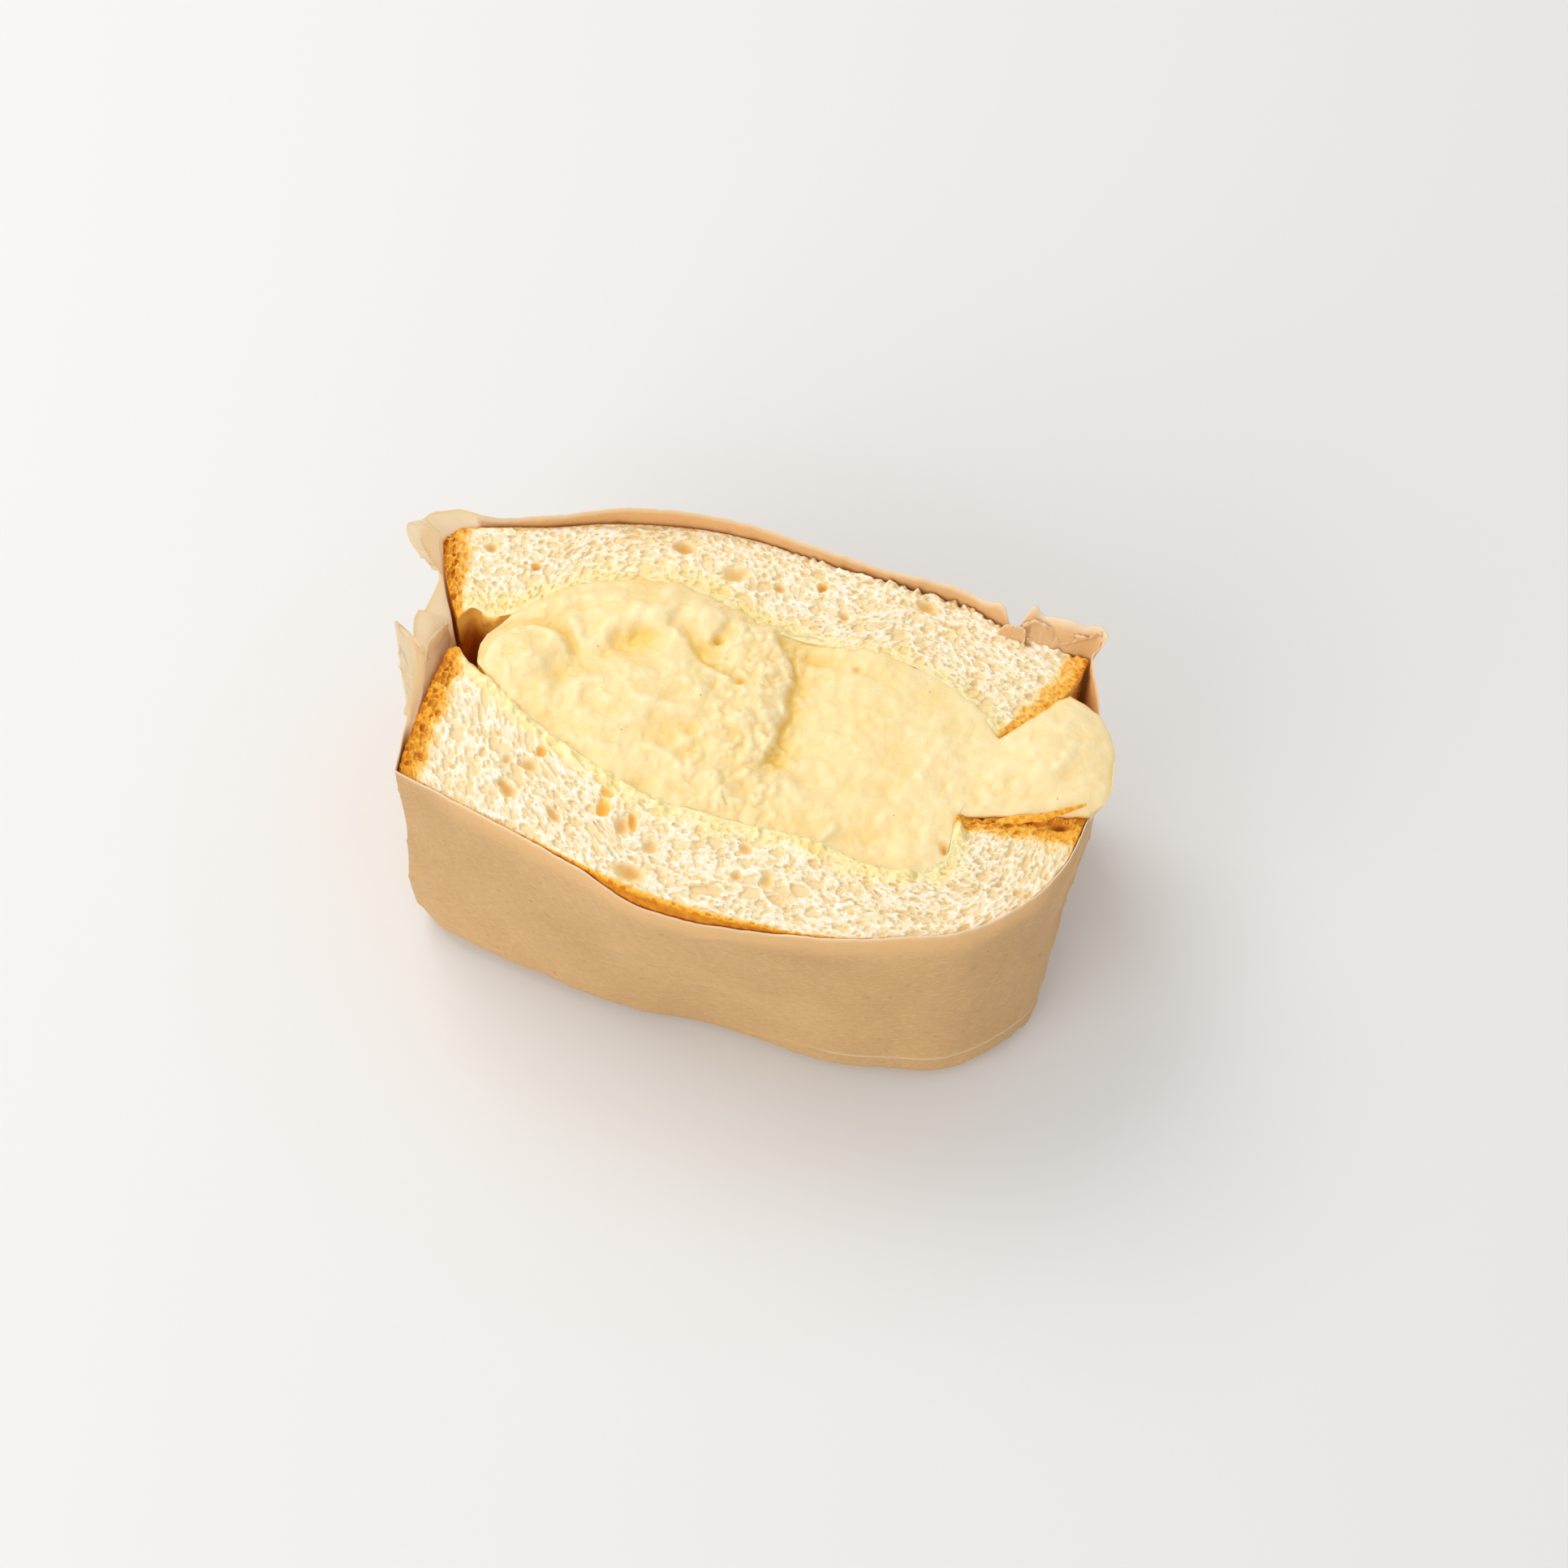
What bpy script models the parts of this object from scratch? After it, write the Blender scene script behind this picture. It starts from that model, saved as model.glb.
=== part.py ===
# Half of an egg sandwich standing on its crust, cut face up, in a brown paper wrap.
# Lengths are in metres, +Z is up, and the origin is under the middle of its bounding box.
# The plan of the cut is drawn flat, and the whole sandwich is then leaned and tapered by one rule,
# so pieces that clear each other in the plan clear each other everywhere.

import bmesh
import bpy
import numpy as np

MM = 0.001

# Driving sizes
CUT_HEIGHT = 56 * MM  # from the table to the cut face
PAPER_THICK = 0.5 * MM
GAP = 0.35 * MM  # between pieces that touch
EGG_GAP = 0.5 * MM  # a little more beside the filling, which turns sharp corners
FLOOR_OF_BREAD = PAPER_THICK + GAP
EGG_FLOOR = 3 * MM  # the filling stops just short of the crust
FRONT_TAPER = (0.19, -1.5 * MM, 23 * MM, -0.08)  # the belly's share, centre and reach, and the ends' share
BACK_TAPER = (0.08, -15 * MM, 32 * MM, -0.02)
FRONT_TO_BACK = (-15 * MM, 15 * MM)  # one taper gives way to the other between these
LEAN = -2 * MM  # the left end's bottom lies this much further left than its top
LEAN_FROM = (20 * MM, -45 * MM)
FOOT_HEIGHT = (5 * MM, 6 * MM)  # the bottom edge is rounded below this, in the middle and at the ends
FOOT_INSET = (3 * MM, 3.2 * MM)
FOOT_REACH = 30 * MM  # distance from the spine at which the inset is whole
FOOT_ENDS = (46 * MM, 60 * MM)
SPINE_LEFT = (-44 * MM, 4 * MM)
SPINE_RIGHT = (42 * MM, 0 * MM)
ORIGIN_IN_PLAN = (-3.9 * MM, 0.6 * MM)  # the box's centre, from the middle of the cut

# Each slice is drawn as ribs across it, from the crust side to the egg side, left to right (mm)
FRONT_OUTER = (
    (-64.2, -21.0), (-58.1, -22.8), (-48.8, -26.3), (-38.7, -29.8), (-28.0, -34.2),
    (-18.5, -37.9), (-7.0, -41.2), (5.0, -42.0), (18.4, -40.9), (31.0, -38.6),
    (44.5, -34.8), (53.0, -28.0), (59.0, -19.5), (62.2, -8.0),
)
FRONT_INNER = (
    (-59.8, 6.3), (-53.5, 2.0), (-45.5, -3.8), (-36.5, -9.0), (-26.5, -14.0),
    (-17.5, -17.9), (-6.5, -19.7), (4.0, -20.8), (14.5, -22.2), (25.0, -25.0),
    (33.5, -24.6), (38.0, -21.6), (38.6, -17.0), (38.9, -11.9),
)
BACK_OUTER = (
    (-65.5, 32.6), (-57.0, 36.6), (-46.7, 38.9), (-37.3, 41.2), (-28.0, 42.5),
    (-18.5, 43.0), (-8.0, 42.2), (2.5, 40.2), (13.0, 38.1), (24.0, 36.3),
    (34.5, 34.0), (44.0, 29.5), (52.0, 27.2), (58.6, 26.1),
)
BACK_INNER = (
    (-61.7, 14.6), (-54.6, 15.2), (-47.5, 18.6), (-41.1, 24.4), (-31.0, 27.7),
    (-20.4, 28.1), (-10.0, 24.4), (0.5, 21.0), (10.5, 20.0), (20.5, 19.8),
    (29.5, 17.0), (36.5, 13.0), (41.0, 9.0), (44.3, 5.9),
)
BACK_END_BOW = 2.6 * MM  # the back slice's right crust swells outwards
BOW_HEADING = (0.82, -0.57)
BOW_FADE = 24  # the swelling dies out in the last few hundredths of the slice
BOW_OUTER_SHARE = 1.3  # and is stronger on the crust side than at the egg
BOW_INNER_SHARE = 0.5

# The filling's free outlines, past the slices at both ends (mm)
LOBE_FRONT = ((-55.6, 7.4), (-55.3, 4.6))
LOBE_BACK = ((-55.6, 9.6), (-54.9, 12.0), (-52.8, 14.2))
BULGE_FRONT = ((63.6, -6.0), (65.0, -3.0), (65.8, 0.6))
BULGE_BACK = ((59.4, 14.5), (62.8, 11.6), (65.0, 7.8), (65.9, 3.8))
LOBE_STEP_FRONT = 4  # the steps along each slice where the filling leaves it at the left
LOBE_STEP_BACK = 7
BULGE_STEPS = 5  # how many steps up the back slice's end crust the filling lies against it
RIM_OVERHANG = 3 * MM  # at most, the bulge hangs over the paper's rim by this
HELD_LINE = 62.85 * MM  # below the rim the filling goes no further right than this
OVERHANG = (49 * MM, 54 * MM)  # it swells out between these heights

# The paper's outline beyond the slices (mm)
RIGHT_SIDE = ((63.2, -4.0), (63.4, 3.0), (63.2, 10.0), (62.4, 17.0), (61.0, 23.0))
LEFT_SIDE = ((-65.0, 24.0), (-64.4, 12.0), (-64.2, 0.0), (-64.3, -12.0))

# The paper's rim: plan position, height and outward lean per height above RIM_BEND (mm)
RIM_BEND = 50 * MM
RIM = (
    (-64.2, -21.5, 55.4, 0.0), (-50.0, -26.0, 54.6, 0.0), (-38.0, -30.0, 54.0, 0.0),
    (-27.0, -35.0, 52.8, 0.0), (-17.0, -38.5, 51.2, 0.0), (-7.0, -42.0, 50.4, 0.0),
    (5.0, -42.8, 51.4, 0.0), (16.0, -41.5, 53.8, 0.0), (30.0, -39.0, 55.5, 0.0),
    (45.0, -35.0, 56.1, 0.0), (56.0, -25.0, 55.8, 0.0), (61.5, -15.0, 54.0, 0.0),
    (63.5, -6.0, 50.0, 0.0), (64.3, 3.0, 48.6, 0.0), (64.0, 11.0, 49.5, 0.0),
    (62.8, 17.0, 56.0, 0.0), (61.4, 23.0, 58.5, 0.1), (59.6, 27.0, 60.0, 0.15),
    (50.0, 28.4, 60.4, 0.1), (42.0, 31.0, 58.8, 0.05), (34.5, 34.6, 57.6, 0.0),
    (24.0, 37.0, 58.2, 0.0), (8.0, 40.0, 58.4, 0.0), (-12.0, 43.5, 59.4, 0.0),
    (-32.0, 42.9, 60.0, 0.0), (-50.0, 39.0, 57.8, 0.0), (-61.0, 35.5, 56.8, 0.0),
    (-66.2, 32.0, 57.0, 0.2), (-66.0, 28.0, 61.2, 0.75), (-65.6, 23.0, 57.0, 0.25),
    (-65.2, 18.0, 58.6, 0.1), (-65.0, 12.0, 60.4, 0.2), (-65.0, 8.5, 59.6, 0.3),
    (-65.0, 5.5, 61.8, 0.5), (-65.0, 0.0, 59.6, 0.35), (-65.0, -6.0, 57.4, 0.15),
    (-65.0, -13.0, 56.2, 0.0),
)
LIP_FROM = 14 * MM  # a second layer of paper stands out low on the front, right of here
LIP_BLEND = 8 * MM
LIP_FRONT = (0 * MM, -12 * MM)
LIP_HEIGHT = (5 * MM, 7 * MM)
LIP_OUT = 0.5 * MM

# The cut face: mounds of the filling as centre, reach and height (mm)
MOUNDS = (
    (-24.0, 3.0, 17.0, 17.0, 4.6), (-47.0, 8.0, 9.0, 9.0, 2.6), (55.5, 3.0, 10.0, 10.0, 2.6),
    (-14.0, 17.0, 8.0, 7.0, 1.6), (-27.0, 18.0, 6.0, 5.0, -2.4), (10.0, 8.0, 16.0, 12.0, 0.6),
)
LEDGE = ((2.0, 22.0), (2.6, 10.0), (-1.4, 0.0), (-9.0, -9.0))  # the mound ends here in a step
LEDGE_DROP = 2.2 * MM
LEDGE_WIDTH = 1.6 * MM
LEDGE_REACH = 16 * MM  # the step is lost again this far to the right
LEDGE_FADE = (-12 * MM, 0 * MM)  # and towards the front between these
EGG_RISE = 0.8 * MM  # the filling stands this much proud of the crumb
EGG_EDGE = 2.5 * MM  # and rounds down to the crumb over this distance
EGG_EDGE_DROP = 0.6 * MM
CRUMB_WAVE = 0.55 * MM  # height of the torn crumb's relief
CRUMB_GRAIN = 3.4 * MM
CRUMB_FINE = 0.6  # strength of a second relief at half the grain
CRUMB_SEEDS = (3.0, 5.0)
CRUST_ROUND = 1.1 * MM  # the cut's edges are worn down by this
SLICE_LENGTH = 125 * MM
SLICE_THICKNESS = 16 * MM
EGG_LUMP = 0.5 * MM
EGG_GRAIN = 5.0 * MM
EGG_SEED = 8.0
EGG_WIDTH = 40 * MM
EGG_LENGTH = 150 * MM

# Colours and roughness
BREAD_LOOK = ((0.88, 0.74, 0.52), 0.85)
EGG_LOOK = ((0.93, 0.76, 0.38), 0.4)
PAPER_LOOK = ((0.60, 0.40, 0.20), 0.55)
SHARP_ANGLE = np.radians(50)

# Steps of the grids
SLICE_STEPS = (56, 9)
EGG_STEPS = (66, 10)
BREAD_LEVELS = (0.0, 0.03, 0.07, 0.14, 0.3, 0.5, 0.72, 0.9, 1.0)
EGG_LEVELS = (0.0, 0.1, 0.4, 0.8, 0.87, 0.95, 1.0)
WALL_LEVELS = (0.0, 0.025, 0.065, 0.13, 0.4, 0.8, 0.9, 1.0)
BACK_STRIDE = 2  # the paper's back takes every second step of the slice
SIDE_STEPS = 18
OUTLINE_STEPS = 720


def clear_scene():
    for item in list(bpy.data.objects):
        bpy.data.objects.remove(item, do_unlink=True)


def smooth_step(low, high, value):
    """0 below low, 1 above high, and an easy S between them."""
    share = np.clip((value - low) / (high - low), 0.0, 1.0)
    return share * share * (3.0 - 2.0 * share)


def lattice_value(cell_x, cell_y, seed):
    """A fixed number from -1 to 1 for each whole cell of a lattice."""
    mixed = np.sin(cell_x * 127.1 + cell_y * 311.7 + seed * 74.7) * 43758.5453
    return 2.0 * (mixed - np.floor(mixed)) - 1.0


def soft_noise(x, y, grain, seed):
    """Rounded bumps of about one grain across, from -1 to 1."""
    across = x / grain
    along = y / grain
    cell_x = np.floor(across)
    cell_y = np.floor(along)
    part_x = smooth_step(0.0, 1.0, across - cell_x)
    part_y = smooth_step(0.0, 1.0, along - cell_y)
    near = lattice_value(cell_x, cell_y, seed) * (1 - part_x)
    near = near + lattice_value(cell_x + 1, cell_y, seed) * part_x
    far = lattice_value(cell_x, cell_y + 1, seed) * (1 - part_x)
    far = far + lattice_value(cell_x + 1, cell_y + 1, seed) * part_x
    return near * (1 - part_y) + far * part_y


def cubic_through(knots, points, at):
    """A smooth curve through the points, each slope that of a parabola through it and its neighbours."""
    spans = np.diff(knots)
    chords = np.diff(points, axis=0) / spans[:, None]
    slopes = np.empty_like(points)
    slopes[0] = chords[0]
    slopes[-1] = chords[-1]
    weights = spans[:, None]
    slopes[1:-1] = (chords[:-1] * weights[1:] + chords[1:] * weights[:-1]) / (weights[:-1] + weights[1:])
    index = np.clip(np.searchsorted(knots, at, side="right") - 1, 0, len(spans) - 1)
    share = ((at - knots[index]) / spans[index])[:, None]
    width = spans[index][:, None]
    rest = 1 - share
    start = (1 + 2 * share) * rest**2 * points[index] + share * rest**2 * width * slopes[index]
    end = share**2 * (3 - 2 * share) * points[index + 1] - share**2 * rest * width * slopes[index + 1]
    return start + end


def along_line(points, count):
    """The same line as evenly spaced points."""
    lengths = np.linalg.norm(np.diff(points, axis=0), axis=1)
    reached = np.concatenate([[0.0], np.cumsum(lengths)])
    places = np.linspace(0.0, reached[-1], count)
    return np.stack([np.interp(places, reached, points[:, axis]) for axis in (0, 1)], axis=1)


def moved_left(line, distance):
    """The line moved sideways, to the left of its own direction."""
    direction = np.gradient(line, axis=0)
    direction /= np.linalg.norm(direction, axis=1)[:, None]
    return line + distance * np.stack([-direction[:, 1], direction[:, 0]], axis=1)


class Slice:
    """A slice in plan: station 0 to 1 from left to right, depth 0 at the crust side to 1 at the egg."""

    def __init__(self, outer, inner, end_bow):
        self.outer = np.array(outer) * MM
        self.inner = np.array(inner) * MM
        outer_steps = np.linalg.norm(np.diff(self.outer, axis=0), axis=1)
        inner_steps = np.linalg.norm(np.diff(self.inner, axis=0), axis=1)
        reached = np.concatenate([[0.0], np.cumsum(outer_steps + inner_steps)])
        self.knots = reached / reached[-1]
        self.end_bow = end_bow

    def plan(self, station, depth):
        outer = cubic_through(self.knots, self.outer, station)
        inner = cubic_through(self.knots, self.inner, station)
        points = outer + (inner - outer) * depth[:, None]
        share = BOW_OUTER_SHARE + (BOW_INNER_SHARE - BOW_OUTER_SHARE) * depth
        swell = self.end_bow * station**BOW_FADE * np.sin(np.pi * depth) * share
        return points + swell[:, None] * np.array(BOW_HEADING)


FRONT_SLICE = Slice(FRONT_OUTER, FRONT_INNER, 0.0)
BACK_SLICE = Slice(BACK_OUTER, BACK_INNER, BACK_END_BOW)


def egg_outline(slice_plan, first_step, end_steps, lobe, bulge, clear):
    """One side of the filling in plan: lobe, along the slice by steps, up its end crust, round the bulge."""
    along, through = SLICE_STEPS
    run = np.arange(first_step, along + 1) / along
    up = 1.0 - np.arange(1, end_steps + 1) / through
    station = np.concatenate([run, np.ones_like(up)])
    depth = np.concatenate([np.ones_like(run), up])
    contact = moved_left(slice_plan.plan(station, depth), clear)
    start = np.array(lobe) * MM
    left_over = EGG_STEPS[0] + 2 - len(start) - len(contact)
    end = along_line(np.concatenate([contact[-1:], np.array(bulge) * MM]), left_over)
    return np.concatenate([start, contact, end[1:]])


def paper_outline():
    """The loop round everything in plan, anticlockwise from the front left corner."""
    along = SLICE_STEPS[0]
    front_run = np.arange(0, along + 1) / along
    back_run = np.arange(along, -1, -BACK_STRIDE) / along
    front = FRONT_SLICE.plan(front_run, np.zeros_like(front_run))
    back = BACK_SLICE.plan(back_run, np.zeros_like(back_run))
    right = along_line(np.concatenate([front[-1:], np.array(RIGHT_SIDE) * MM, back[:1]]), SIDE_STEPS + 1)
    left = along_line(np.concatenate([back[-1:], np.array(LEFT_SIDE) * MM, front[:1]]), SIDE_STEPS + 1)
    return np.concatenate([front, right[1:-1], back, left[1:-1]])


def outward(loop):
    """At each point of a loop, the move that takes both of its edges out by one."""
    edge = np.roll(loop, -1, axis=0) - loop
    edge /= np.linalg.norm(edge, axis=1)[:, None]
    after = np.stack([edge[:, 1], -edge[:, 0]], axis=1)
    before = np.roll(after, 1, axis=0)
    return (before + after) / (1.0 + np.sum(before * after, axis=1))[:, None]


def taper_share(x, taper):
    belly, centre, reach, ends = taper
    return belly * np.exp(-(((x - centre) / reach) ** 2)) + ends


def settled(points):
    """The plan's straight prism made into the sandwich: foot rounded, belly tapered, left end leaning out."""
    x, y, z = (points[:, axis].copy() for axis in range(3))
    spine_x = np.clip(x, SPINE_LEFT[0], SPINE_RIGHT[0])
    spine_share = (spine_x - SPINE_LEFT[0]) / (SPINE_RIGHT[0] - SPINE_LEFT[0])
    spine_y = SPINE_LEFT[1] + spine_share * (SPINE_RIGHT[1] - SPINE_LEFT[1])
    at_end = smooth_step(*FOOT_ENDS, np.abs(x))
    foot_height = FOOT_HEIGHT[0] + (FOOT_HEIGHT[1] - FOOT_HEIGHT[0]) * at_end
    foot_inset = FOOT_INSET[0] + (FOOT_INSET[1] - FOOT_INSET[0]) * at_end
    keep = 1.0 - foot_inset / FOOT_REACH * np.clip(1.0 - z / foot_height, 0.0, 1.0) ** 2
    x = spine_x + (x - spine_x) * keep
    y = spine_y + (y - spine_y) * keep
    depth = np.clip(1.0 - z / CUT_HEIGHT, 0.0, 1.0)
    to_back = smooth_step(*FRONT_TO_BACK, y)
    taper = taper_share(x, FRONT_TAPER) * (1.0 - to_back) + taper_share(x, BACK_TAPER) * to_back
    y = y * (1.0 - depth * taper)
    x = x + LEAN * depth * smooth_step(*LEAN_FROM, x)
    return np.stack([x - ORIGIN_IN_PLAN[0], y - ORIGIN_IN_PLAN[1], z], axis=1)


def worn_edge(distance):
    """How far a cut edge is worn down at this distance from it."""
    return CRUST_ROUND * np.exp(-distance / CRUST_ROUND)


def crumb_top(x, y, station, depth):
    """The cut face of a slice, with the open crumb as relief."""
    ends = np.minimum(station, 1.0 - station) * SLICE_LENGTH
    sides = np.minimum(depth, 1.0 - depth) * SLICE_THICKNESS
    relief = soft_noise(x, y, CRUMB_GRAIN, CRUMB_SEEDS[0])
    relief += CRUMB_FINE * soft_noise(x, y, CRUMB_GRAIN / 2, CRUMB_SEEDS[1])
    return CUT_HEIGHT + CRUMB_WAVE * relief - worn_edge(np.minimum(ends, sides))


def ledge_side(x, y):
    """How far right of the ledge's line a point lies."""
    line = np.array(LEDGE[::-1]) * MM
    return x - np.interp(y, line[:, 1], line[:, 0])


def egg_top(x, y, station, depth):
    """The filling's surface: mounds on a slight dome, with the ledge where the left mass ends."""
    height = np.full_like(x, CUT_HEIGHT + EGG_RISE)
    for centre_x, centre_y, reach_x, reach_y, rise in MOUNDS:
        away = ((x / MM - centre_x) / reach_x) ** 2 + ((y / MM - centre_y) / reach_y) ** 2
        height += rise * MM * np.exp(-away)
    beyond = smooth_step(-LEDGE_WIDTH, LEDGE_WIDTH, ledge_side(x, y))
    near_ledge = np.exp(-((ledge_side(x, y) / LEDGE_REACH) ** 2))
    height -= LEDGE_DROP * beyond * near_ledge * smooth_step(*LEDGE_FADE, y)
    height += EGG_LUMP * soft_noise(x, y, EGG_GRAIN, EGG_SEED)
    to_side = np.minimum(depth, 1.0 - depth) * EGG_WIDTH
    to_end = np.minimum(station, 1.0 - station) * EGG_LENGTH
    edge = np.minimum(to_side, to_end)
    return height - (height - CUT_HEIGHT + EGG_EDGE_DROP) * np.exp(-edge / EGG_EDGE)


def sheet_faces(numbers):
    """Quads over a grid of point numbers."""
    corners = (numbers[:-1, :-1], numbers[1:, :-1], numbers[1:, 1:], numbers[:-1, 1:])
    return np.stack([corner.ravel() for corner in corners], axis=1)


def block(plan_at, steps, levels, top_at, floor, shift_at=None):
    """A closed body over a plan of stations and depths: floor, cut face and four walls, joined together."""
    across, deep = steps
    station, depth, level = np.meshgrid(
        np.linspace(0, 1, across + 1), np.linspace(0, 1, deep + 1), np.array(levels), indexing="ij"
    )
    shape = station.shape
    flat_station = station.ravel()
    flat_depth = depth.ravel()
    plan = plan_at(flat_station, flat_depth)
    top = top_at(plan[:, 0], plan[:, 1], flat_station, flat_depth)
    z = floor + (top - floor) * level.ravel()
    if shift_at is not None:
        plan = plan + shift_at(plan, z)
    points = settled(np.column_stack([plan, z]))
    number = np.arange(len(points)).reshape(shape)
    flats = (number[:, :, 0], number[:, :, -1])
    walls = (number[:, 0, :], number[:, -1, :], number[0], number[-1])
    faces = np.concatenate([sheet_faces(side) for side in flats + walls])
    used, renumbered = np.unique(faces, return_inverse=True)
    return points[used], renumbered.reshape(faces.shape)


def make_object(name, points, faces, colour, roughness):
    mesh = bpy.data.meshes.new(name)
    corners = [tuple(int(number) for number in face) for face in faces]
    mesh.from_pydata([tuple(point) for point in points], [], corners)
    shell = bmesh.new()
    shell.from_mesh(mesh)
    bmesh.ops.recalc_face_normals(shell, faces=shell.faces)
    shell.to_mesh(mesh)
    shell.free()
    mesh.shade_smooth()
    mesh.set_sharp_from_angle(angle=SHARP_ANGLE)
    material = bpy.data.materials.new(name + "_material")
    material.use_nodes = True
    shader = material.node_tree.nodes["Principled BSDF"]
    shader.inputs["Base Color"].default_value = (*colour, 1.0)
    shader.inputs["Roughness"].default_value = roughness
    shader.inputs["Metallic"].default_value = 0.0
    mesh.materials.append(material)
    part = bpy.data.objects.new(name, mesh)
    bpy.context.scene.collection.objects.link(part)


def make_slice(name, slice_plan):
    points, faces = block(slice_plan.plan, SLICE_STEPS, BREAD_LEVELS, crumb_top, FLOOR_OF_BREAD)
    make_object(name, points, faces, *BREAD_LOOK)


def make_egg():
    front = egg_outline(FRONT_SLICE, LOBE_STEP_FRONT, SLICE_STEPS[1], LOBE_FRONT, BULGE_FRONT, EGG_GAP)
    back = egg_outline(BACK_SLICE, LOBE_STEP_BACK, BULGE_STEPS, LOBE_BACK, BULGE_BACK, -EGG_GAP)

    def plan(station, depth):
        place = np.rint(station * EGG_STEPS[0]).astype(int)
        return front[place] + (back[place] - front[place]) * depth[:, None]

    def tucked_in(points, z):
        """Below the rim the bulge is held back by the paper."""
        beyond = np.clip(points[:, 0] - HELD_LINE, 0.0, RIM_OVERHANG)
        held = 1.0 - smooth_step(*OVERHANG, z)
        return np.column_stack([-beyond * held, np.zeros_like(z)])

    points, faces = block(plan, EGG_STEPS, EGG_LEVELS, egg_top, EGG_FLOOR, tucked_in)
    make_object("egg_filling", points, faces, *EGG_LOOK)


def rim_at(loop):
    """Rim height and lean at each point of the outline, smooth between the named places."""
    closed = np.concatenate([loop, loop[:1]])
    reached = np.concatenate([[0.0], np.cumsum(np.linalg.norm(np.diff(closed, axis=0), axis=1))])
    fine = along_line(closed, OUTLINE_STEPS + 1)[:-1]
    places = np.array([row[:2] for row in RIM]) * MM
    nearest = np.argmin(np.linalg.norm(fine[None, :, :] - places[:, None, :], axis=2), axis=1)
    order = np.argsort(nearest)
    knots = nearest[order] * reached[-1] / OUTLINE_STEPS
    values = np.array([(row[2] * MM, row[3]) for row in RIM])[order]
    knots = np.concatenate([knots[-1:] - reached[-1], knots, knots[:1] + reached[-1]])
    values = np.concatenate([values[-1:], values, values[:1]])
    found = cubic_through(knots, values, reached[:-1])
    return found[:, 0], np.maximum(found[:, 1], 0.0)


def paper_side(loop, normal, height, lean, offset, floor):
    """One side of the wrap as rows of points, from the bottom's edge up to the rim."""
    rows = []
    for level in WALL_LEVELS:
        z = floor + (height - floor) * level
        out = offset + lean * np.maximum(z - RIM_BEND, 0.0)
        lip = LIP_OUT * smooth_step(LIP_FROM, LIP_FROM + LIP_BLEND, loop[:, 0])
        lip *= smooth_step(*LIP_FRONT, loop[:, 1]) * (1.0 - smooth_step(*LIP_HEIGHT, z))
        rows.append(np.column_stack([loop + normal * (out + lip)[:, None], z]))
    return rows


def make_paper():
    outline = paper_outline()
    normal = outward(outline)
    height, lean = rim_at(outline)
    outer = paper_side(outline, normal, height, lean, GAP + PAPER_THICK, 0.0)
    inner = paper_side(outline, normal, height, lean, GAP, PAPER_THICK)
    points = settled(np.concatenate(outer + inner[::-1]))
    around = len(outline)
    rows = len(outer) * 2
    number = np.arange(rows * around).reshape(rows, around)
    wall = sheet_faces(np.concatenate([number, number[:, :1]], axis=1))
    faces = [tuple(face) for face in wall] + [tuple(number[0, ::-1]), tuple(number[-1])]
    make_object("paper_wrap", points, faces, *PAPER_LOOK)


clear_scene()
make_slice("bread_slice_front", FRONT_SLICE)
make_slice("bread_slice_back", BACK_SLICE)
make_egg()
make_paper()
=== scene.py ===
import bpy
import numpy as np
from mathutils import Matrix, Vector


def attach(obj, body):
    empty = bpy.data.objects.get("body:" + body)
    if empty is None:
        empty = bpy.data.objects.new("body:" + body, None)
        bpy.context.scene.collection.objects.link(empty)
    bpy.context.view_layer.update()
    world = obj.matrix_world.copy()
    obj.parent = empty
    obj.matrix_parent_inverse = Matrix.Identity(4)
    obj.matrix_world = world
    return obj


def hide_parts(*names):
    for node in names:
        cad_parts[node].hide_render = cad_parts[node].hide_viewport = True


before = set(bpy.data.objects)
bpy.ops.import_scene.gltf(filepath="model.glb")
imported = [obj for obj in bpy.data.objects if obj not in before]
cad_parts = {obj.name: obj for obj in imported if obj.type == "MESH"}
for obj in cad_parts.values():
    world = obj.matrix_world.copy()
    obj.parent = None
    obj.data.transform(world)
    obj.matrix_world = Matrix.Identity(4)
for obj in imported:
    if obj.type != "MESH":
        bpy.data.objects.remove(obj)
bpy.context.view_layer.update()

mm = 0.001
cutHeight = 56.0  # from the floor to the cut face, mm

settling = {
    "frontTaper": (0.19, -1.5, 23.0, -0.08),  # the belly's share, its centre and reach, and the ends' share
    "backTaper": (0.08, -15.0, 32.0, -0.02),
    "backFrom": (-15.0, 15.0),  # the back taper takes over from the front one between these
    "rightDraw": 3.3,  # the right end's foot is drawn in by this, fading up between these heights
    "rightDrawUp": (10.0, 52.0),
    "rightDrawFrom": (56.5, 65.5),
    "leftDraw": (0.9, 36.0, 14.0),  # the left end is drawn in by this round a height, with its reach
    "leftDrawFrom": (-58.0, -64.0),
    "frontFoot": (  # along x, how far the front's foot lies back from its even line
        (-64.0, 0.0), (-58.0, -1.6), (-48.0, -0.5), (-38.0, 0.7), (-20.0, 0.6), (-6.0, -0.6), (5.0, -1.2),
        (20.0, -0.4), (32.0, 0.3), (40.0, -0.3), (52.0, -0.6), (58.0, -1.6), (62.0, 0.0),
    ),
    "frontFootFrom": (0.0, -18.0),
    "corner": (-65.0, -22.0, 5.0, 1.6, 16.0),  # the front left foot corner: place, reach, pull and height
    "cornerPull": (0.85, 0.5),
    "lean": -2.0,  # the left end's foot lies this much further left than its top
    "leanFrom": (20.0, -45.0),
    "footHeight": (5.0, 6.0),  # the foot is rounded below this, in the middle and at the ends
    "footInset": (3.0, 3.2),
    "footReach": 30.0,
    "footEnds": (46.0, 60.0),
    "spineLeft": (-44.0, 4.0),
    "spineRight": (42.0, 0.0),
    "origin": (-3.9, 0.6),
}

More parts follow.
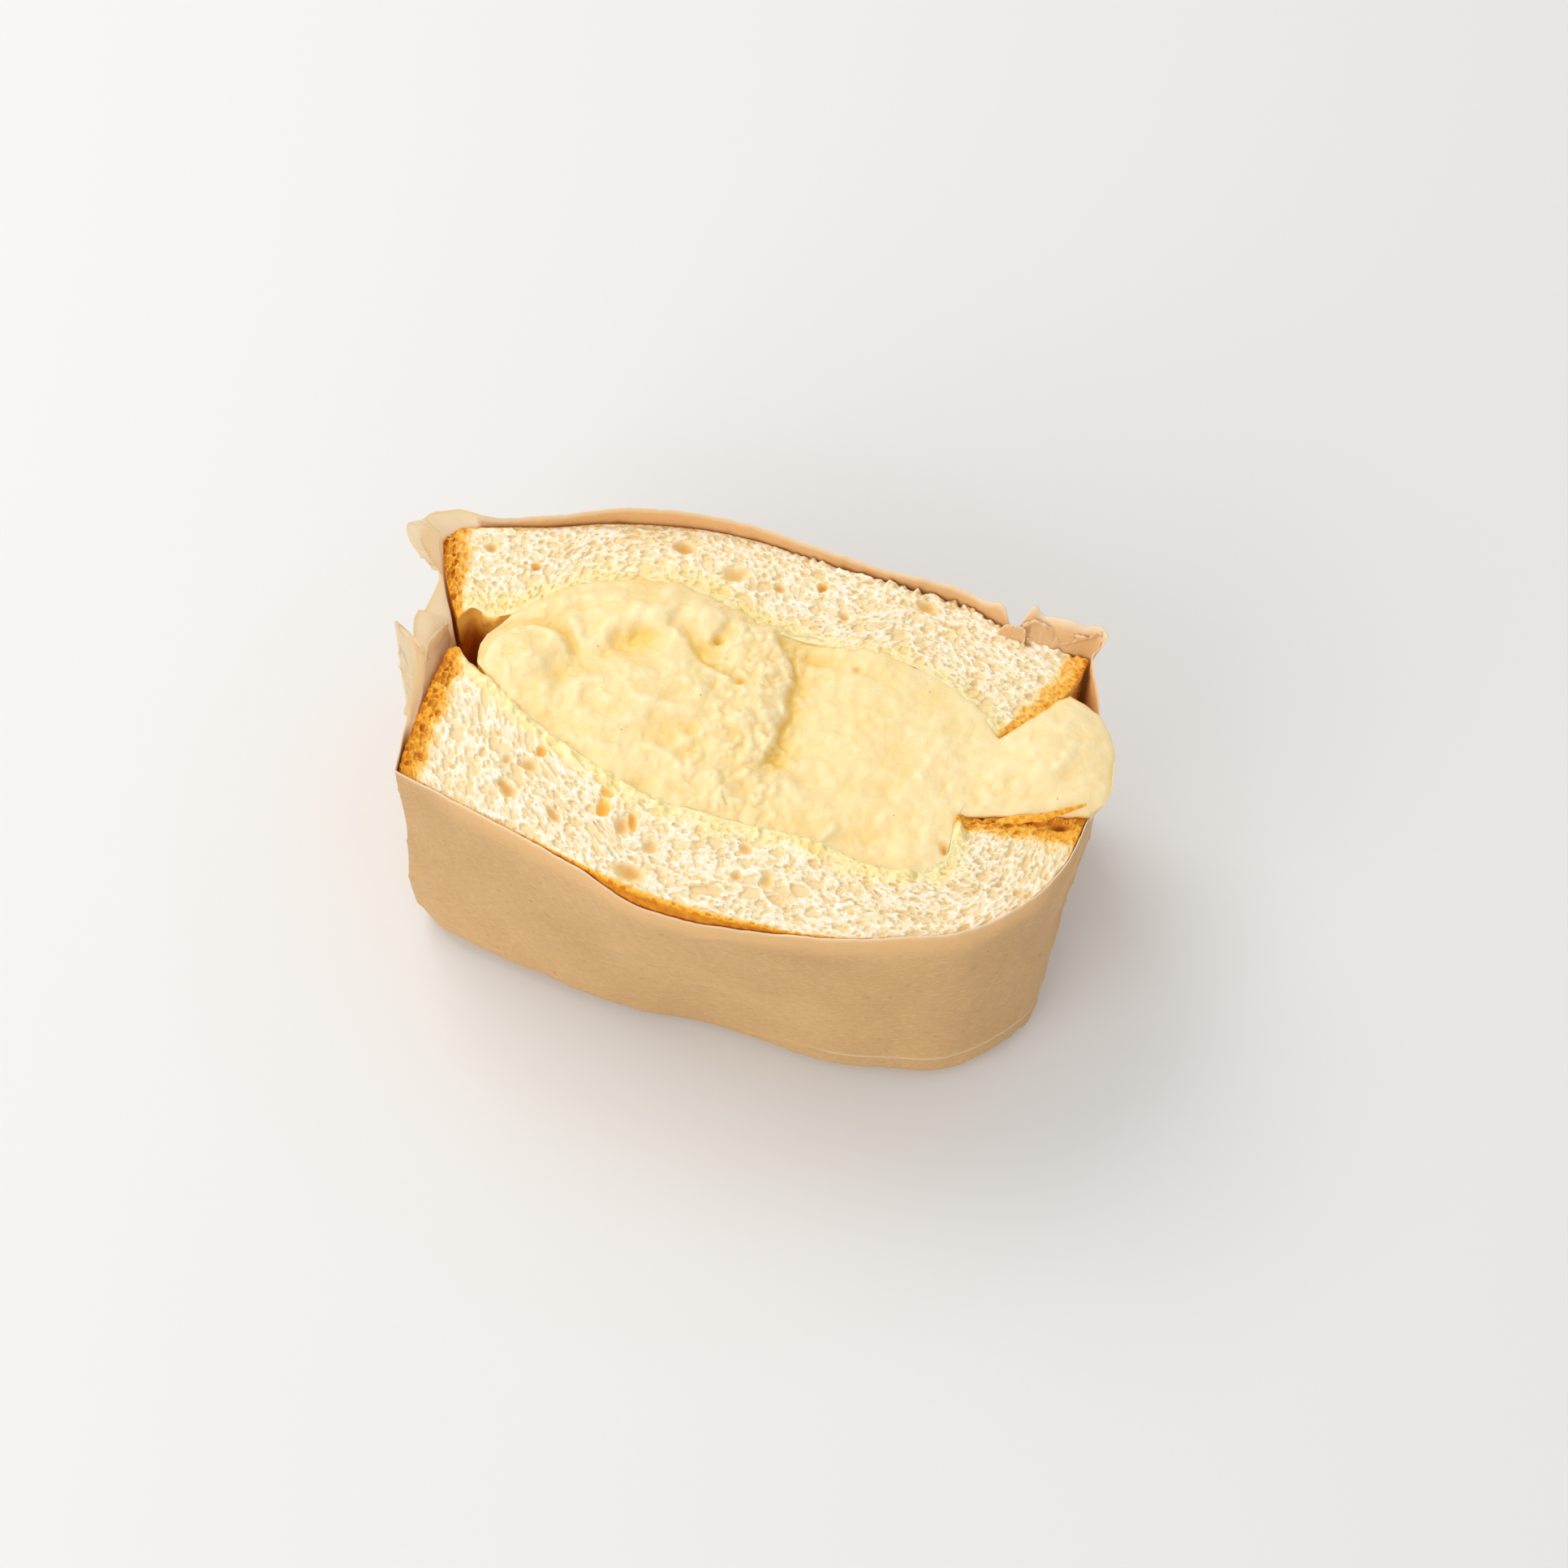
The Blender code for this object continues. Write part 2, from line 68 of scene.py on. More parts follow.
frontRibs = {
    "crust": (
        (-64.6, -20.6), (-62.4, -21.4), (-60.3, -22.1), (-58.1, -22.8), (-48.8, -26.3), (-38.7, -29.8),
        (-28.0, -33.8), (-18.5, -37.4), (-7.0, -39.9), (5.0, -40.8), (18.4, -40.8), (31.0, -38.6),
        (44.5, -34.8), (53.0, -28.3), (59.2, -19.5), (62.4, -8.0),
    ),
    "egg": (
        (-61.7, 6.8), (-59.0, 6.8), (-56.2, 4.0), (-53.0, 2.4), (-45.5, -3.4), (-36.5, -9.0),
        (-26.5, -14.0), (-17.5, -17.9), (-6.5, -19.7), (4.0, -20.8), (14.5, -22.2), (25.0, -25.0),
        (33.5, -24.6), (38.0, -21.6), (38.6, -17.0), (38.9, -11.9),
    ),
}
backRibs = {
    "crust": (
        (-68.6, 32.0), (-66.6, 34.5), (-57.0, 36.8), (-46.7, 38.9), (-37.3, 41.2), (-28.0, 42.5),
        (-18.5, 43.0), (-8.0, 42.2), (2.5, 40.2), (13.0, 38.1), (24.0, 36.3), (34.5, 34.0),
        (44.0, 29.5), (52.0, 27.2), (58.6, 26.1),
    ),
    "egg": (
        (-61.5, 14.8), (-59.6, 16.6), (-54.6, 15.6), (-47.5, 19.2), (-41.1, 24.4), (-31.0, 27.7),
        (-20.4, 28.1), (-10.0, 24.4), (0.5, 21.0), (10.5, 20.0), (20.5, 19.8), (29.5, 17.0),
        (36.5, 13.0), (41.0, 9.0), (44.3, 5.5),
    ),
}
endBow = {"size": 2.6, "heading": (0.82, -0.57), "fade": 24, "crustShare": 1.3, "eggShare": 0.5, "left": 0.8}
sliceSteps = (56, 9)  # the solid's own steps along and across a slice, which the filling's outline follows


# An S from 0 below low to 1 above high: t squared times (3 - 2t)
def easeStep(low, high, value):
    share = np.clip((value - low) / (high - low), 0.0, 1.0)
    return share * share * (3.0 - 2.0 * share)


# A bell that is 1 at the middle and falls as exp(-(distance / reach) squared)
def bell(distance, reach):
    return np.exp(-((distance / reach) ** 2))


# A fixed number from -1 to 1 for each whole cell: the fraction left over from a large sine
def latticeValue(cellX, cellY, seed):
    mixed = np.sin(cellX * 127.1 + cellY * 311.7 + seed * 74.7) * 43758.5453
    return 2.0 * (mixed - np.floor(mixed)) - 1.0


# Rounded bumps one grain across, from -1 to 1: lattice values eased between the four corners of each cell
def softNoise(x, y, grain, seed):
    across = x / grain
    along = y / grain
    cellX = np.floor(across)
    cellY = np.floor(along)
    partX = easeStep(0.0, 1.0, across - cellX)
    partY = easeStep(0.0, 1.0, along - cellY)
    near = latticeValue(cellX, cellY, seed) * (1 - partX) + latticeValue(cellX + 1, cellY, seed) * partX
    far = latticeValue(cellX, cellY + 1, seed) * (1 - partX)
    far = far + latticeValue(cellX + 1, cellY + 1, seed) * partX
    return near * (1 - partY) + far * partY


# Soft noise with half its grain at half strength, and a quarter at a quarter
def cloudNoise(x, y, grain, seed):
    total = softNoise(x, y, grain, seed) + 0.5 * softNoise(x + 31.0, y - 17.0, grain / 2, seed + 1)
    return (total + 0.25 * softNoise(x - 11.0, y + 23.0, grain / 4, seed + 2)) / 1.4


# Soft noises added up, each given by its strength, grain and seed
def layered(x, y, *layers):
    return sum(strength * softNoise(x, y, grain, seed) for strength, grain, seed in layers)


seedShift = 0.45  # how far a seed may lie off its cell's centre, in cells


# Each cell holds one seed moved off its centre. Gives the distance to the nearest seed and to the second one,
# in cells, and the nearest seed's own number from 0 to 1
def nearestSeeds(x, y, size, seed):
    across = x / size
    along = y / size
    cellX = np.floor(across)
    cellY = np.floor(along)
    best = np.full(x.shape, 9.0)
    second = np.full(x.shape, 9.0)
    mark = np.zeros(x.shape)
    for stepX in (-1, 0, 1):
        for stepY in (-1, 0, 1):
            seedX = cellX + stepX
            seedY = cellY + stepY
            offX = across - seedX - 0.5 - seedShift * latticeValue(seedX, seedY, seed)
            offY = along - seedY - 0.5 - seedShift * latticeValue(seedX, seedY, seed + 17)
            gap = np.hypot(offX, offY)
            closer = gap < best
            second = np.where(closer, best, np.minimum(second, gap))
            mark = np.where(closer, 0.5 + 0.5 * latticeValue(seedX, seedY, seed + 31), mark)
            best = np.where(closer, gap, best)
    return best, second, mark


# A smooth curve through points at their knots: cubic Hermite pieces, each slope taken from both neighbours
def smoothThrough(knots, points, at):
    spans = np.diff(knots)
    chords = np.diff(points, axis=0) / spans[:, None]
    weights = spans[:, None]
    slopes = np.empty_like(points)
    slopes[0] = chords[0]
    slopes[-1] = chords[-1]
    slopes[1:-1] = (chords[:-1] * weights[1:] + chords[1:] * weights[:-1]) / (weights[:-1] + weights[1:])
    index = np.clip(np.searchsorted(knots, at, side="right") - 1, 0, len(spans) - 1)
    share = ((at - knots[index]) / spans[index])[:, None]
    width = spans[index][:, None]
    rest = 1 - share
    start = (1 + 2 * share) * rest**2 * points[index] + share * rest**2 * width * slopes[index]
    end = share**2 * (3 - 2 * share) * points[index + 1] - share**2 * rest * width * slopes[index + 1]
    return start + end


# The length of a line up to each of its points
def lengthSoFar(points):
    return np.concatenate([[0.0], np.cumsum(np.linalg.norm(np.diff(points, axis=0), axis=1))])


# The same line as evenly spaced points
def evenly(points, count):
    reached = lengthSoFar(points)
    places = np.linspace(0.0, reached[-1], count)
    return np.stack([np.interp(places, reached, points[:, axis]) for axis in (0, 1)], axis=1)


# The line moved to the left of its own direction
def sidestep(line, distance):
    heading = np.gradient(line, axis=0)
    heading /= np.linalg.norm(heading, axis=1)[:, None]
    return line + distance * np.stack([-heading[:, 1], heading[:, 0]], axis=1)


# Distance from a broken line, positive on its left, and how far along it the nearest place is, 0 to 1
def lineField(x, y, points):
    corners = np.array(points, dtype=float)
    lengths = np.linalg.norm(np.diff(corners, axis=0), axis=1)
    total = lengths.sum()
    best = np.full(x.shape, 1e9)
    side = np.zeros(x.shape)
    along = np.zeros(x.shape)
    for index, length in enumerate(lengths):
        fromX = x - corners[index, 0]
        fromY = y - corners[index, 1]
        heading = (corners[index + 1] - corners[index]) / length
        reach = np.clip(fromX * heading[0] + fromY * heading[1], 0.0, length)
        gap = np.hypot(fromX - reach * heading[0], fromY - reach * heading[1])
        closer = gap < best
        best = np.where(closer, gap, best)
        side = np.where(closer, np.sign(heading[0] * fromY - heading[1] * fromX), side)
        along = np.where(closer, (lengths[:index].sum() + reach) / total, along)
    return best * side, along


# The place in plan of a station, 0 to 1 from left to right, and a depth, 0 at the crust side to 1 at the egg
def slicePlan(ribs, bow):
    crustSide = np.array(ribs["crust"])
    eggSide = np.array(ribs["egg"])
    steps = sum(np.linalg.norm(np.diff(side, axis=0), axis=1) for side in (crustSide, eggSide))
    reached = np.concatenate([[0.0], np.cumsum(steps)])
    knots = reached / reached[-1]

    def place(station, depth):
        outer = smoothThrough(knots, crustSide, station)
        inner = smoothThrough(knots, eggSide, station)
        share = endBow["crustShare"] + (endBow["eggShare"] - endBow["crustShare"]) * depth
        swell = bow * station ** endBow["fade"] * np.sin(np.pi * depth) * share
        points = outer + (inner - outer) * depth[:, None] + swell[:, None] * np.array(endBow["heading"])
        points[:, 0] -= endBow["left"] * (1.0 - station) ** endBow["fade"] * np.sin(np.pi * depth)
        return points

    return place


frontPlan = slicePlan(frontRibs, 0.0)
backPlan = slicePlan(backRibs, endBow["size"])


# The straight prism over the plan made into the sandwich: the foot drawn in towards a spine, the belly
# narrowed towards the floor by a bell along x, and the left end's foot moved out; millimetres in, metres out
def settle(points):
    look = settling
    x, y, z = points.T
    left, right = look["spineLeft"], look["spineRight"]
    spineX = np.clip(x, left[0], right[0])
    spineY = left[1] + (spineX - left[0]) / (right[0] - left[0]) * (right[1] - left[1])
    atEnd = easeStep(*look["footEnds"], np.abs(x))
    height = look["footHeight"][0] + (look["footHeight"][1] - look["footHeight"][0]) * atEnd
    inset = look["footInset"][0] + (look["footInset"][1] - look["footInset"][0]) * atEnd
    keep = 1.0 - inset / look["footReach"] * np.clip(1.0 - z / height, 0.0, 1.0) ** 2
    x = spineX + (x - spineX) * keep
    y = spineY + (y - spineY) * keep
    low = np.clip(1.0 - z / cutHeight, 0.0, 1.0)
    toBack = easeStep(*look["backFrom"], y)
    shares = []
    for belly, centre, reach, ends in (look["frontTaper"], look["backTaper"]):
        shares.append(belly * bell(x - centre, reach) + ends)
    y = y * (1.0 - low * (shares[0] * (1.0 - toBack) + shares[1] * toBack))
    footX, footY = np.array(look["frontFoot"]).T
    y = y + np.interp(x, footX, footY) * low**2 * easeStep(*look["frontFootFrom"], y)
    drawn = look["rightDraw"] * (1.0 - easeStep(*look["rightDrawUp"], z))
    x = x - drawn * easeStep(*look["rightDrawFrom"], x)
    inset, middle, reach = look["leftDraw"]
    x = x + inset * bell(z - middle, reach) * easeStep(*look["leftDrawFrom"], x)
    cornerX, cornerY, reach, pull, top = look["corner"]
    pull = pull * bell(np.hypot(x - cornerX, y - cornerY), reach) * np.clip(1.0 - z / top, 0.0, 1.0)
    x = x + look["cornerPull"][0] * pull
    y = y + look["cornerPull"][1] * pull
    x = x + look["lean"] * low * easeStep(*look["leanFrom"], x)
    return np.stack([x - look["origin"][0], y - look["origin"][1], z], axis=-1) * mm


# Quads over a grid of point numbers
def gridQuads(numbers):
    corners = (numbers[:-1, :-1], numbers[1:, :-1], numbers[1:, 1:], numbers[:-1, 1:])
    return np.stack([corner.ravel() for corner in corners], axis=1)


# The border of a grid as one loop: along the first side, up the end, back along the far side and down again
def borderOf(grid):
    return np.concatenate([grid[:-1, 0], grid[-1, :-1], grid[:0:-1, -1], grid[0, :0:-1]])


# A mesh from whole arrays, given in millimetres. Its volume, the sum of p0 . (p1 x p2) / 6 over its
# triangles, tells whether it is inside out
def meshPiece(name, points, quads, caps, fields, material, places=None):
    points = settle(points)
    fans = [np.stack([np.full(len(cap) - 2, cap[0]), cap[1:-1], cap[2:]], axis=1) for cap in caps]
    triangles = np.concatenate([quads[:, [0, 1, 2]], quads[:, [0, 2, 3]], *fans])
    first, second, third = (points[triangles[:, corner]] for corner in range(3))
    if np.sum(first * np.cross(second, third)) < 0:
        quads = quads[:, ::-1]
        caps = [cap[::-1] for cap in caps]
    corners = np.concatenate([quads.ravel(), *caps])
    sizes = np.array([4] * len(quads) + [len(cap) for cap in caps])
    starts = np.concatenate([[0], np.cumsum(sizes)[:-1]])
    mesh = bpy.data.meshes.new(name)
    mesh.vertices.add(len(points))
    mesh.vertices.foreach_set("co", points.astype(np.float32).ravel())
    mesh.loops.add(len(corners))
    mesh.loops.foreach_set("vertex_index", corners.astype(np.int32))
    mesh.polygons.add(len(starts))
    mesh.polygons.foreach_set("loop_start", starts.astype(np.int32))
    mesh.update(calc_edges=True)
    mesh.validate()
    for field, values in fields.items():
        layer = mesh.attributes.new(field, "FLOAT", "POINT")
        layer.data.foreach_set("value", values.astype(np.float32).ravel())
    if places is not None:
        layer = mesh.uv_layers.new(name="places")
        layer.data.foreach_set("uv", places(corners).astype(np.float32).ravel())
    mesh.shade_smooth()
    mesh.materials.append(material)
    piece = bpy.data.objects.new(name, mesh)
    bpy.context.scene.collection.objects.link(piece)
    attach(piece, "root")
    print(f"{name}: {len(points)} points, {len(quads)} quads")
    return piece


# A closed body: a top surface over a grid of points, wall rows below its border, and one flat underside.
# lower(share) gives the border's plan at a share of the way down, and shares lists the rows
def blockPiece(name, top, lower, shares, floor, topFields, wallFields, material, places=None):
    numbers = np.arange(top[..., 0].size).reshape(top.shape[:2])
    border = borderOf(numbers)
    borderZ = borderOf(top[..., 2])
    rows = [top.reshape(-1, 3)]
    for share in shares:
        x, y = lower(share)
        rows.append(np.stack([x, y, borderZ + (floor - borderZ) * share], axis=1))
    wallShape = (len(shares), len(border))
    below = numbers.size + np.arange(len(shares) * len(border)).reshape(wallShape)
    wall = np.concatenate([border[None], below])[::-1]
    quads = np.concatenate([gridQuads(numbers), gridQuads(np.concatenate([wall, wall[:, :1]], axis=1).T)])
    fields = {
        key: np.concatenate([topFields[key].ravel(), np.broadcast_to(wallFields[key], wallShape).ravel()])
        for key in topFields
    }
    return meshPiece(name, np.concatenate(rows), quads, [wall[0][::-1]], fields, material, places)


def setSockets(tree, shader, sockets):
    for key, value in sockets.items():
        if isinstance(value, bpy.types.NodeSocket):
            tree.links.new(value, shader.inputs[key])
        else:
            shader.inputs[key].default_value = value


# One node with its sockets linked or set; the materials below are built from these small helpers
def addNode(tree, kind, sockets, **settings):
    made = tree.nodes.new(kind)
    for key, value in settings.items():
        setattr(made, key, value)
    setSockets(tree, made, sockets)
    return made


def fieldOf(tree, name):
    return addNode(tree, "ShaderNodeAttribute", {}, attribute_name=name).outputs["Fac"]


def mathOf(tree, kind, first, second):
    return addNode(tree, "ShaderNodeMath", {0: first, 1: second}, operation=kind).outputs[0]


def times(tree, first, second):
    return mathOf(tree, "MULTIPLY", first, second)


# A number taken from one range to another, held inside it
def spread(tree, value, fromLow, fromHigh, toLow=0.0, toHigh=1.0):
    sockets = {"Value": value, "From Min": fromLow, "From Max": fromHigh, "To Min": toLow, "To Max": toHigh}
    return addNode(tree, "ShaderNodeMapRange", sockets).outputs["Result"]


def blendColours(tree, share, first, second):
    sockets = {0: share, 6: first, 7: second}
    return addNode(tree, "ShaderNodeMix", sockets, data_type="RGBA", clamp_factor=True).outputs[2]


# Coats of the look's colours laid one over the other, each by its own share
def paint(tree, look, colour, *coats):
    for share, name in coats:
        colour = blendColours(tree, share, colour, look[name])
    return colour


def ownPlaces(tree):
    return addNode(tree, "ShaderNodeTexCoord", {}).outputs["Object"]


def flatPlaces(tree):
    return addNode(tree, "ShaderNodeUVMap", {}, uv_map="places").outputs[0]


def noiseOf(tree, scale, detail=3.0, roughness=0.5, where=None, stretch=None, distortion=0.0):
    where = where or ownPlaces(tree)
    if stretch is not None:
        where = addNode(tree, "ShaderNodeMapping", {"Vector": where, "Scale": stretch}).outputs[0]
    sockets = {"Vector": where, "Scale": scale, "Detail": detail, "Roughness": roughness}
    return addNode(tree, "ShaderNodeTexNoise", {**sockets, "Distortion": distortion}).outputs["Fac"]


# Cells round scattered seeds: the distance to the nearest seed, and numbers that each cell keeps
def cellsOf(tree, scale, where, **settings):
    cells = addNode(tree, "ShaderNodeTexVoronoi", {"Vector": where, "Scale": scale}, **settings)
    marks = addNode(tree, "ShaderNodeSeparateColor", {"Color": cells.outputs["Color"]})
    return cells.outputs["Distance"], marks.outputs


def bumpOf(tree, height, strength, distance, below=None):
    sockets = {"Height": height, "Strength": strength, "Distance": distance}
    if below is not None:
        sockets["Normal"] = below
    return addNode(tree, "ShaderNodeBump", sockets).outputs["Normal"]


def newMaterial(name):
    material = bpy.data.materials.new(name)
    material.use_nodes = True
    tree = material.node_tree
    return material, tree, tree.nodes["Principled BSDF"]


# A colour given as the screen shows it, 0 to 255, as the renderer's linear one
def tone(red, green, blue):
    screen = np.array([red, green, blue]) / 255.0
    linear = np.where(screen <= 0.04045, screen / 12.92, ((screen + 0.055) / 1.055) ** 2.4)
    return (*linear.tolist(), 1.0)


breadLook = {
    "web": tone(255, 250, 236),
    "webWarm": tone(254, 243, 217),
    # The pore colours are painted shade: tan inside the pores, deeper tan in the deep ones, and a warm tint
    # on the pores' edges
    "pore": tone(241, 207, 141),
    "poreShadeWide": tone(246, 222, 170),
    "poreShadeDeep": tone(226, 178, 96),
    "poreEdgeShade": tone(251, 216, 146),
    # The stain is the egg's own colour; the deeper stain below it is laid in the pores, partly egg soaked in
    # and partly painted shade
    "stain": tone(255, 236, 168),
    "stainDeepShade": tone(255, 210, 112),
    "crustStrand": tone(250, 188, 70),
    "crustGold": tone(233, 150, 22),
    "crustBrown": tone(202, 114, 6),
    # painted shade: the colour of the crust's deepest pits
    "crustPitShade": tone(150, 76, 8),
    "crustPale": tone(254, 226, 152),
    # The torn wall over the gap at the left: near the top the egg's stain, painted lighter as light let
    # through; further down brown, partly crust and partly painted shade in the gap
    "wallStainLit": tone(255, 200, 96),
    "wallCrustShade": tone(220, 122, 26),
    "pores": ((880, 0.3, 0.52), (1750, 0.28, 0.5)),  # scale to the metre, least and most reach in cells
    "poreSlope": 0.13,  # a pore's edge, in cells
    "faintPore": 0.25,  # the weakest pore, as a share of the strongest
    "fineShare": 0.55,  # the strength of the finest pores
    "sway": (700.0, 0.0007),  # the scale at which the pores' places wander, and how far
    "patches": (160, 4.0, 0.55),  # noises: scale, detail and roughness
    "blotches": (420, 3.0, 0.5),
    "mottle": (700, 5.0, 0.6),
    "grain": (1600, 4.0, 0.65),
    "grainBump": (0.15, 0.0002),  # strength and height in metres
    "holeBump": (0.45, -0.0003),
    "roughness": 0.85,
    "gloss": 0.3,
    "glow": 0.28,
    "glowReach": (0.0009, 0.0008, 0.00065),
}


# Food lets light in a little way, and glowReach says how far each colour goes, in metres
def setFood(tree, shader, look, colour, normal):
    setSockets(tree, shader, {
        "Base Color": colour, "Normal": normal,
        "Roughness": look["roughness"], "Specular IOR Level": look["gloss"],
        "Subsurface Weight": look["glow"], "Subsurface Radius": look["glowReach"], "Subsurface Scale": 1.0,
    })


# The crumb is a bright web round pores of two sizes, on the flat places kept with the mesh, and the crust is
# the same web baked. The mesh brings the wider pores itself, and its fields tell what lies where
def breadMaterial(name):
    look = breadLook
    material, tree, shader = newMaterial(name)
    pore, stain, crust, toast, bare = (
        fieldOf(tree, key) for key in ("pore", "stain", "crust", "toast", "bare")
    )
    scale, way = look["sway"]
    flat = flatPlaces(tree)
    sway = addNode(tree, "ShaderNodeTexNoise", {"Vector": flat, "Scale": scale, "Detail": 2.0})
    swayed = {0: sway.outputs["Color"], 1: (way, way, 0.0), 2: flat}
    where = addNode(tree, "ShaderNodeVectorMath", swayed, operation="MULTIPLY_ADD").outputs[0]
    layers = []
    for scale, narrow, broad in look["pores"]:
        distance, marks = cellsOf(tree, scale, where, voronoi_dimensions="2D")
        reach = spread(tree, marks[0], 0.0, 1.0, narrow, broad)
        inner = mathOf(tree, "SUBTRACT", reach, look["poreSlope"])
        layer = spread(tree, distance, inner, reach, 1.0, 0.0)
        layers.append(times(tree, layer, spread(tree, marks[1], 0.0, 1.0, look["faintPore"], 1.0)))
    hole = mathOf(tree, "MAXIMUM", layers[0], times(tree, layers[1], look["fineShare"]))
    hole = addNode(tree, "ShaderNodeMix", {0: spread(tree, pore, 0.15, 0.6), 2: hole, 3: 0.55}).outputs[0]

    patches = spread(tree, noiseOf(tree, *look["patches"]), 0.4, 0.65)
    # Painted shade: a warm tint round the pores' edges, and tan that deepens with the pores' depth
    rim = times(tree, spread(tree, pore, 0.0, 0.2), spread(tree, pore, 0.35, 0.9, 0.2, 0.0))
    crumb = paint(
        tree, look, look["web"], (patches, "webWarm"), (spread(tree, hole, 0.0, 0.9), "pore"),
        (times(tree, spread(tree, pore, 0.1, 0.9), 0.7), "poreShadeWide"), (rim, "poreEdgeShade"),
        (spread(tree, pore, 0.8, 2.0), "poreShadeDeep"),
    )
    # The stain deepens with the pores' depth: partly egg soaked in, partly painted shade
    soakedAndShaded = spread(tree, mathOf(tree, "ADD", pore, hole), 0.3, 1.9)
    blotch = times(tree, stain, spread(tree, noiseOf(tree, *look["blotches"]), 0.3, 0.6, 0.65, 1.0))
    crumb = blendColours(tree, blotch, crumb, paint(tree, look, look["stain"], (soakedAndShaded, "stainDeepShade")))

    mottle = spread(tree, noiseOf(tree, *look["mottle"]), 0.35, 0.65)
    deep = mathOf(tree, "ADD", times(tree, toast, 0.8), times(tree, mottle, 0.3))
    # Painted shade on the crust: its pores are darker than its raised web, and the deep pits darker still,
    # over the toast's own browning
    strands = paint(
        tree, look, look["crustPale"], (spread(tree, deep, 0.05, 0.5), "crustStrand"),
        (spread(tree, deep, 0.6, 1.0), "crustGold"),
    )
    pitShade = paint(
        tree, look, look["crustStrand"], (spread(tree, deep, 0.05, 0.45), "crustGold"),
        (spread(tree, deep, 0.4, 0.8), "crustBrown"),
    )
    baked = blendColours(tree, spread(tree, hole, 0.1, 0.8), strands, pitShade)
    deepPitShade = times(tree, spread(tree, pore, 0.5, 1.3), spread(tree, deep, 0.3, 0.7))
    baked = paint(tree, look, baked, (deepPitShade, "crustPitShade"))
    skin = paint(tree, look, look["crustBrown"], (mottle, "crustGold"))
    baked = blendColours(tree, fieldOf(tree, "skin"), baked, skin)
    # Painted light and shade on the torn wall: lighter gold near the top, browner further down the gap
    wall = paint(tree, look, look["wallStainLit"], (spread(tree, bare, 0.35, 1.0), "wallCrustShade"))
    baked = blendColours(tree, spread(tree, bare, 0.0, 0.3), baked, wall)
    grain = bumpOf(tree, noiseOf(tree, *look["grain"]), *look["grainBump"])
    holes = bumpOf(tree, hole, *look["holeBump"], grain)
    setFood(tree, shader, look, blendColours(tree, crust, crumb, baked), holes)
    return material


slices = {
    "steps": (560, 110),
    "length": 125.0,
    "rows": (
        0.006, 0.014, 0.026, 0.04, 0.06, 0.085, 0.11, 0.14, 0.18, 0.24, 0.32, 0.45, 0.6, 0.75, 0.86, 0.91,
        0.95, 0.98, 1.0,
    ),
    "floor": 0.85,
    "swell": 0.28,
    # Pores: size, the share that is open, depth, wall. Crags in the crust: stretch, size, wall, seed, depth
    "pores": ((2.7, 0.12, 0.72, 0.08), (1.7, 0.24, 0.6, 0.06), (1.05, 0.36, 0.42, 0.05)),
    "poreReach": (0.42, 0.3),  # a pore's least reach and how much more it may have, in cells
    "poreSlope": 0.11,
    "poreShallow": 0.35,  # the shallowest pore, as a share of the deepest
    "crags": ((1.6, 1.7, 0.08, 40, 0.8), (1.2, 0.9, 0.06, 43, 0.4)),
    "cragsOpen": 0.7,  # the share that is open
    "wander": (1.2, 9.0),  # how far the pores' places wander, and over which grain
    "rightEnd": (40.0, 55.0),
    "rindLoss": 0.75,  # the share of the rind that is lost between these stations
    "rindThins": (0.76, 0.9),
    "wear": (0.7, 0.4, 0.7),  # of the crust's edge: depth, how much less at the right, reach
    "frayFrom": (60.0, 78.0),
    "bareUpTo": (0.16, 0.08),  # stations of the torn wall over the gap at the left
    "endInset": 0.35,  # the right end's wall lies this far in
}
# Each slice's own values: crust widths go from the crust side to the egg side; holes have their place, reach
# along and across, turn in degrees, depth, and how golden they are
frontSlice = {
    "name": "bread_front", "node": "bread_slice_front", "plan": frontPlan, "seed": 11.0,
    "leftCrust": (5.4, 4.6, 4.2, 3.6), "rightCrust": (5.2, 4.9, 4.7, 4.4), "toast": (1.0, 1.0),
    "rind": 0.32, "rindBulge": (-10.0, 17.0, 0.9), "stainReach": (5.0, 5.5), "crest": 1.5, "fray": 0.1,
    "flow": {  # along the slice: the pores' direction in degrees, their stretch and their fineness
        "at": (4.0, 27.0, 50.0, 80.0, 125.0), "turn": (118.0, 155.0, 174.0, 180.0, 184.0),
        "long": (1.7, 1.6, 1.35, 1.3, 1.3), "fine": (1.0, 0.95, 1.0, 1.05, 1.6),
    },
    "holes": (
        (-25.2, -22.0, 1.5, 2.0, 0, 2.0, 1.0), (-25.0, -18.4, 1.4, 0.9, -25, 1.3, 0.9),
        (-19.5, -23.5, 0.9, 2.2, 10, 1.7, 0.6), (-21.2, -24.6, 1.6, 2.1, 0, 1.3, 0.1),
        (-39.1, -11.9, 1.1, 1.2, 0, 1.5, 0.9), (-40.7, -15.0, 1.9, 1.4, -20, 1.3, 0.0),
        (-17.7, -33.9, 3.4, 1.7, -8, 1.5, 0.0), (-15.2, -28.1, 1.7, 1.5, 0, 1.2, 0.0),
        (2.1, -25.4, 1.5, 1.2, -30, 1.2, 0.25), (1.4, -31.3, 1.3, 1.1, 0, 1.1, 0.1),
        (7.0, -31.2, 1.2, 1.8, 10, 1.1, 0.1), (-45.0, -14.5, 1.3, 0.9, 70, 1.1, 0.1),
        (-43.8, -20.5, 2.6, 1.3, -48, 1.4, 0.0), (-34.0, -24.5, 2.4, 1.0, -40, 1.3, 0.0),
        (57.8, -11.2, 2.3, 0.8, 8, 1.0, 0.0), (-60.9, -16.6, 0.9, 1.6, 70, 1.0, 0.0),
    ),
}
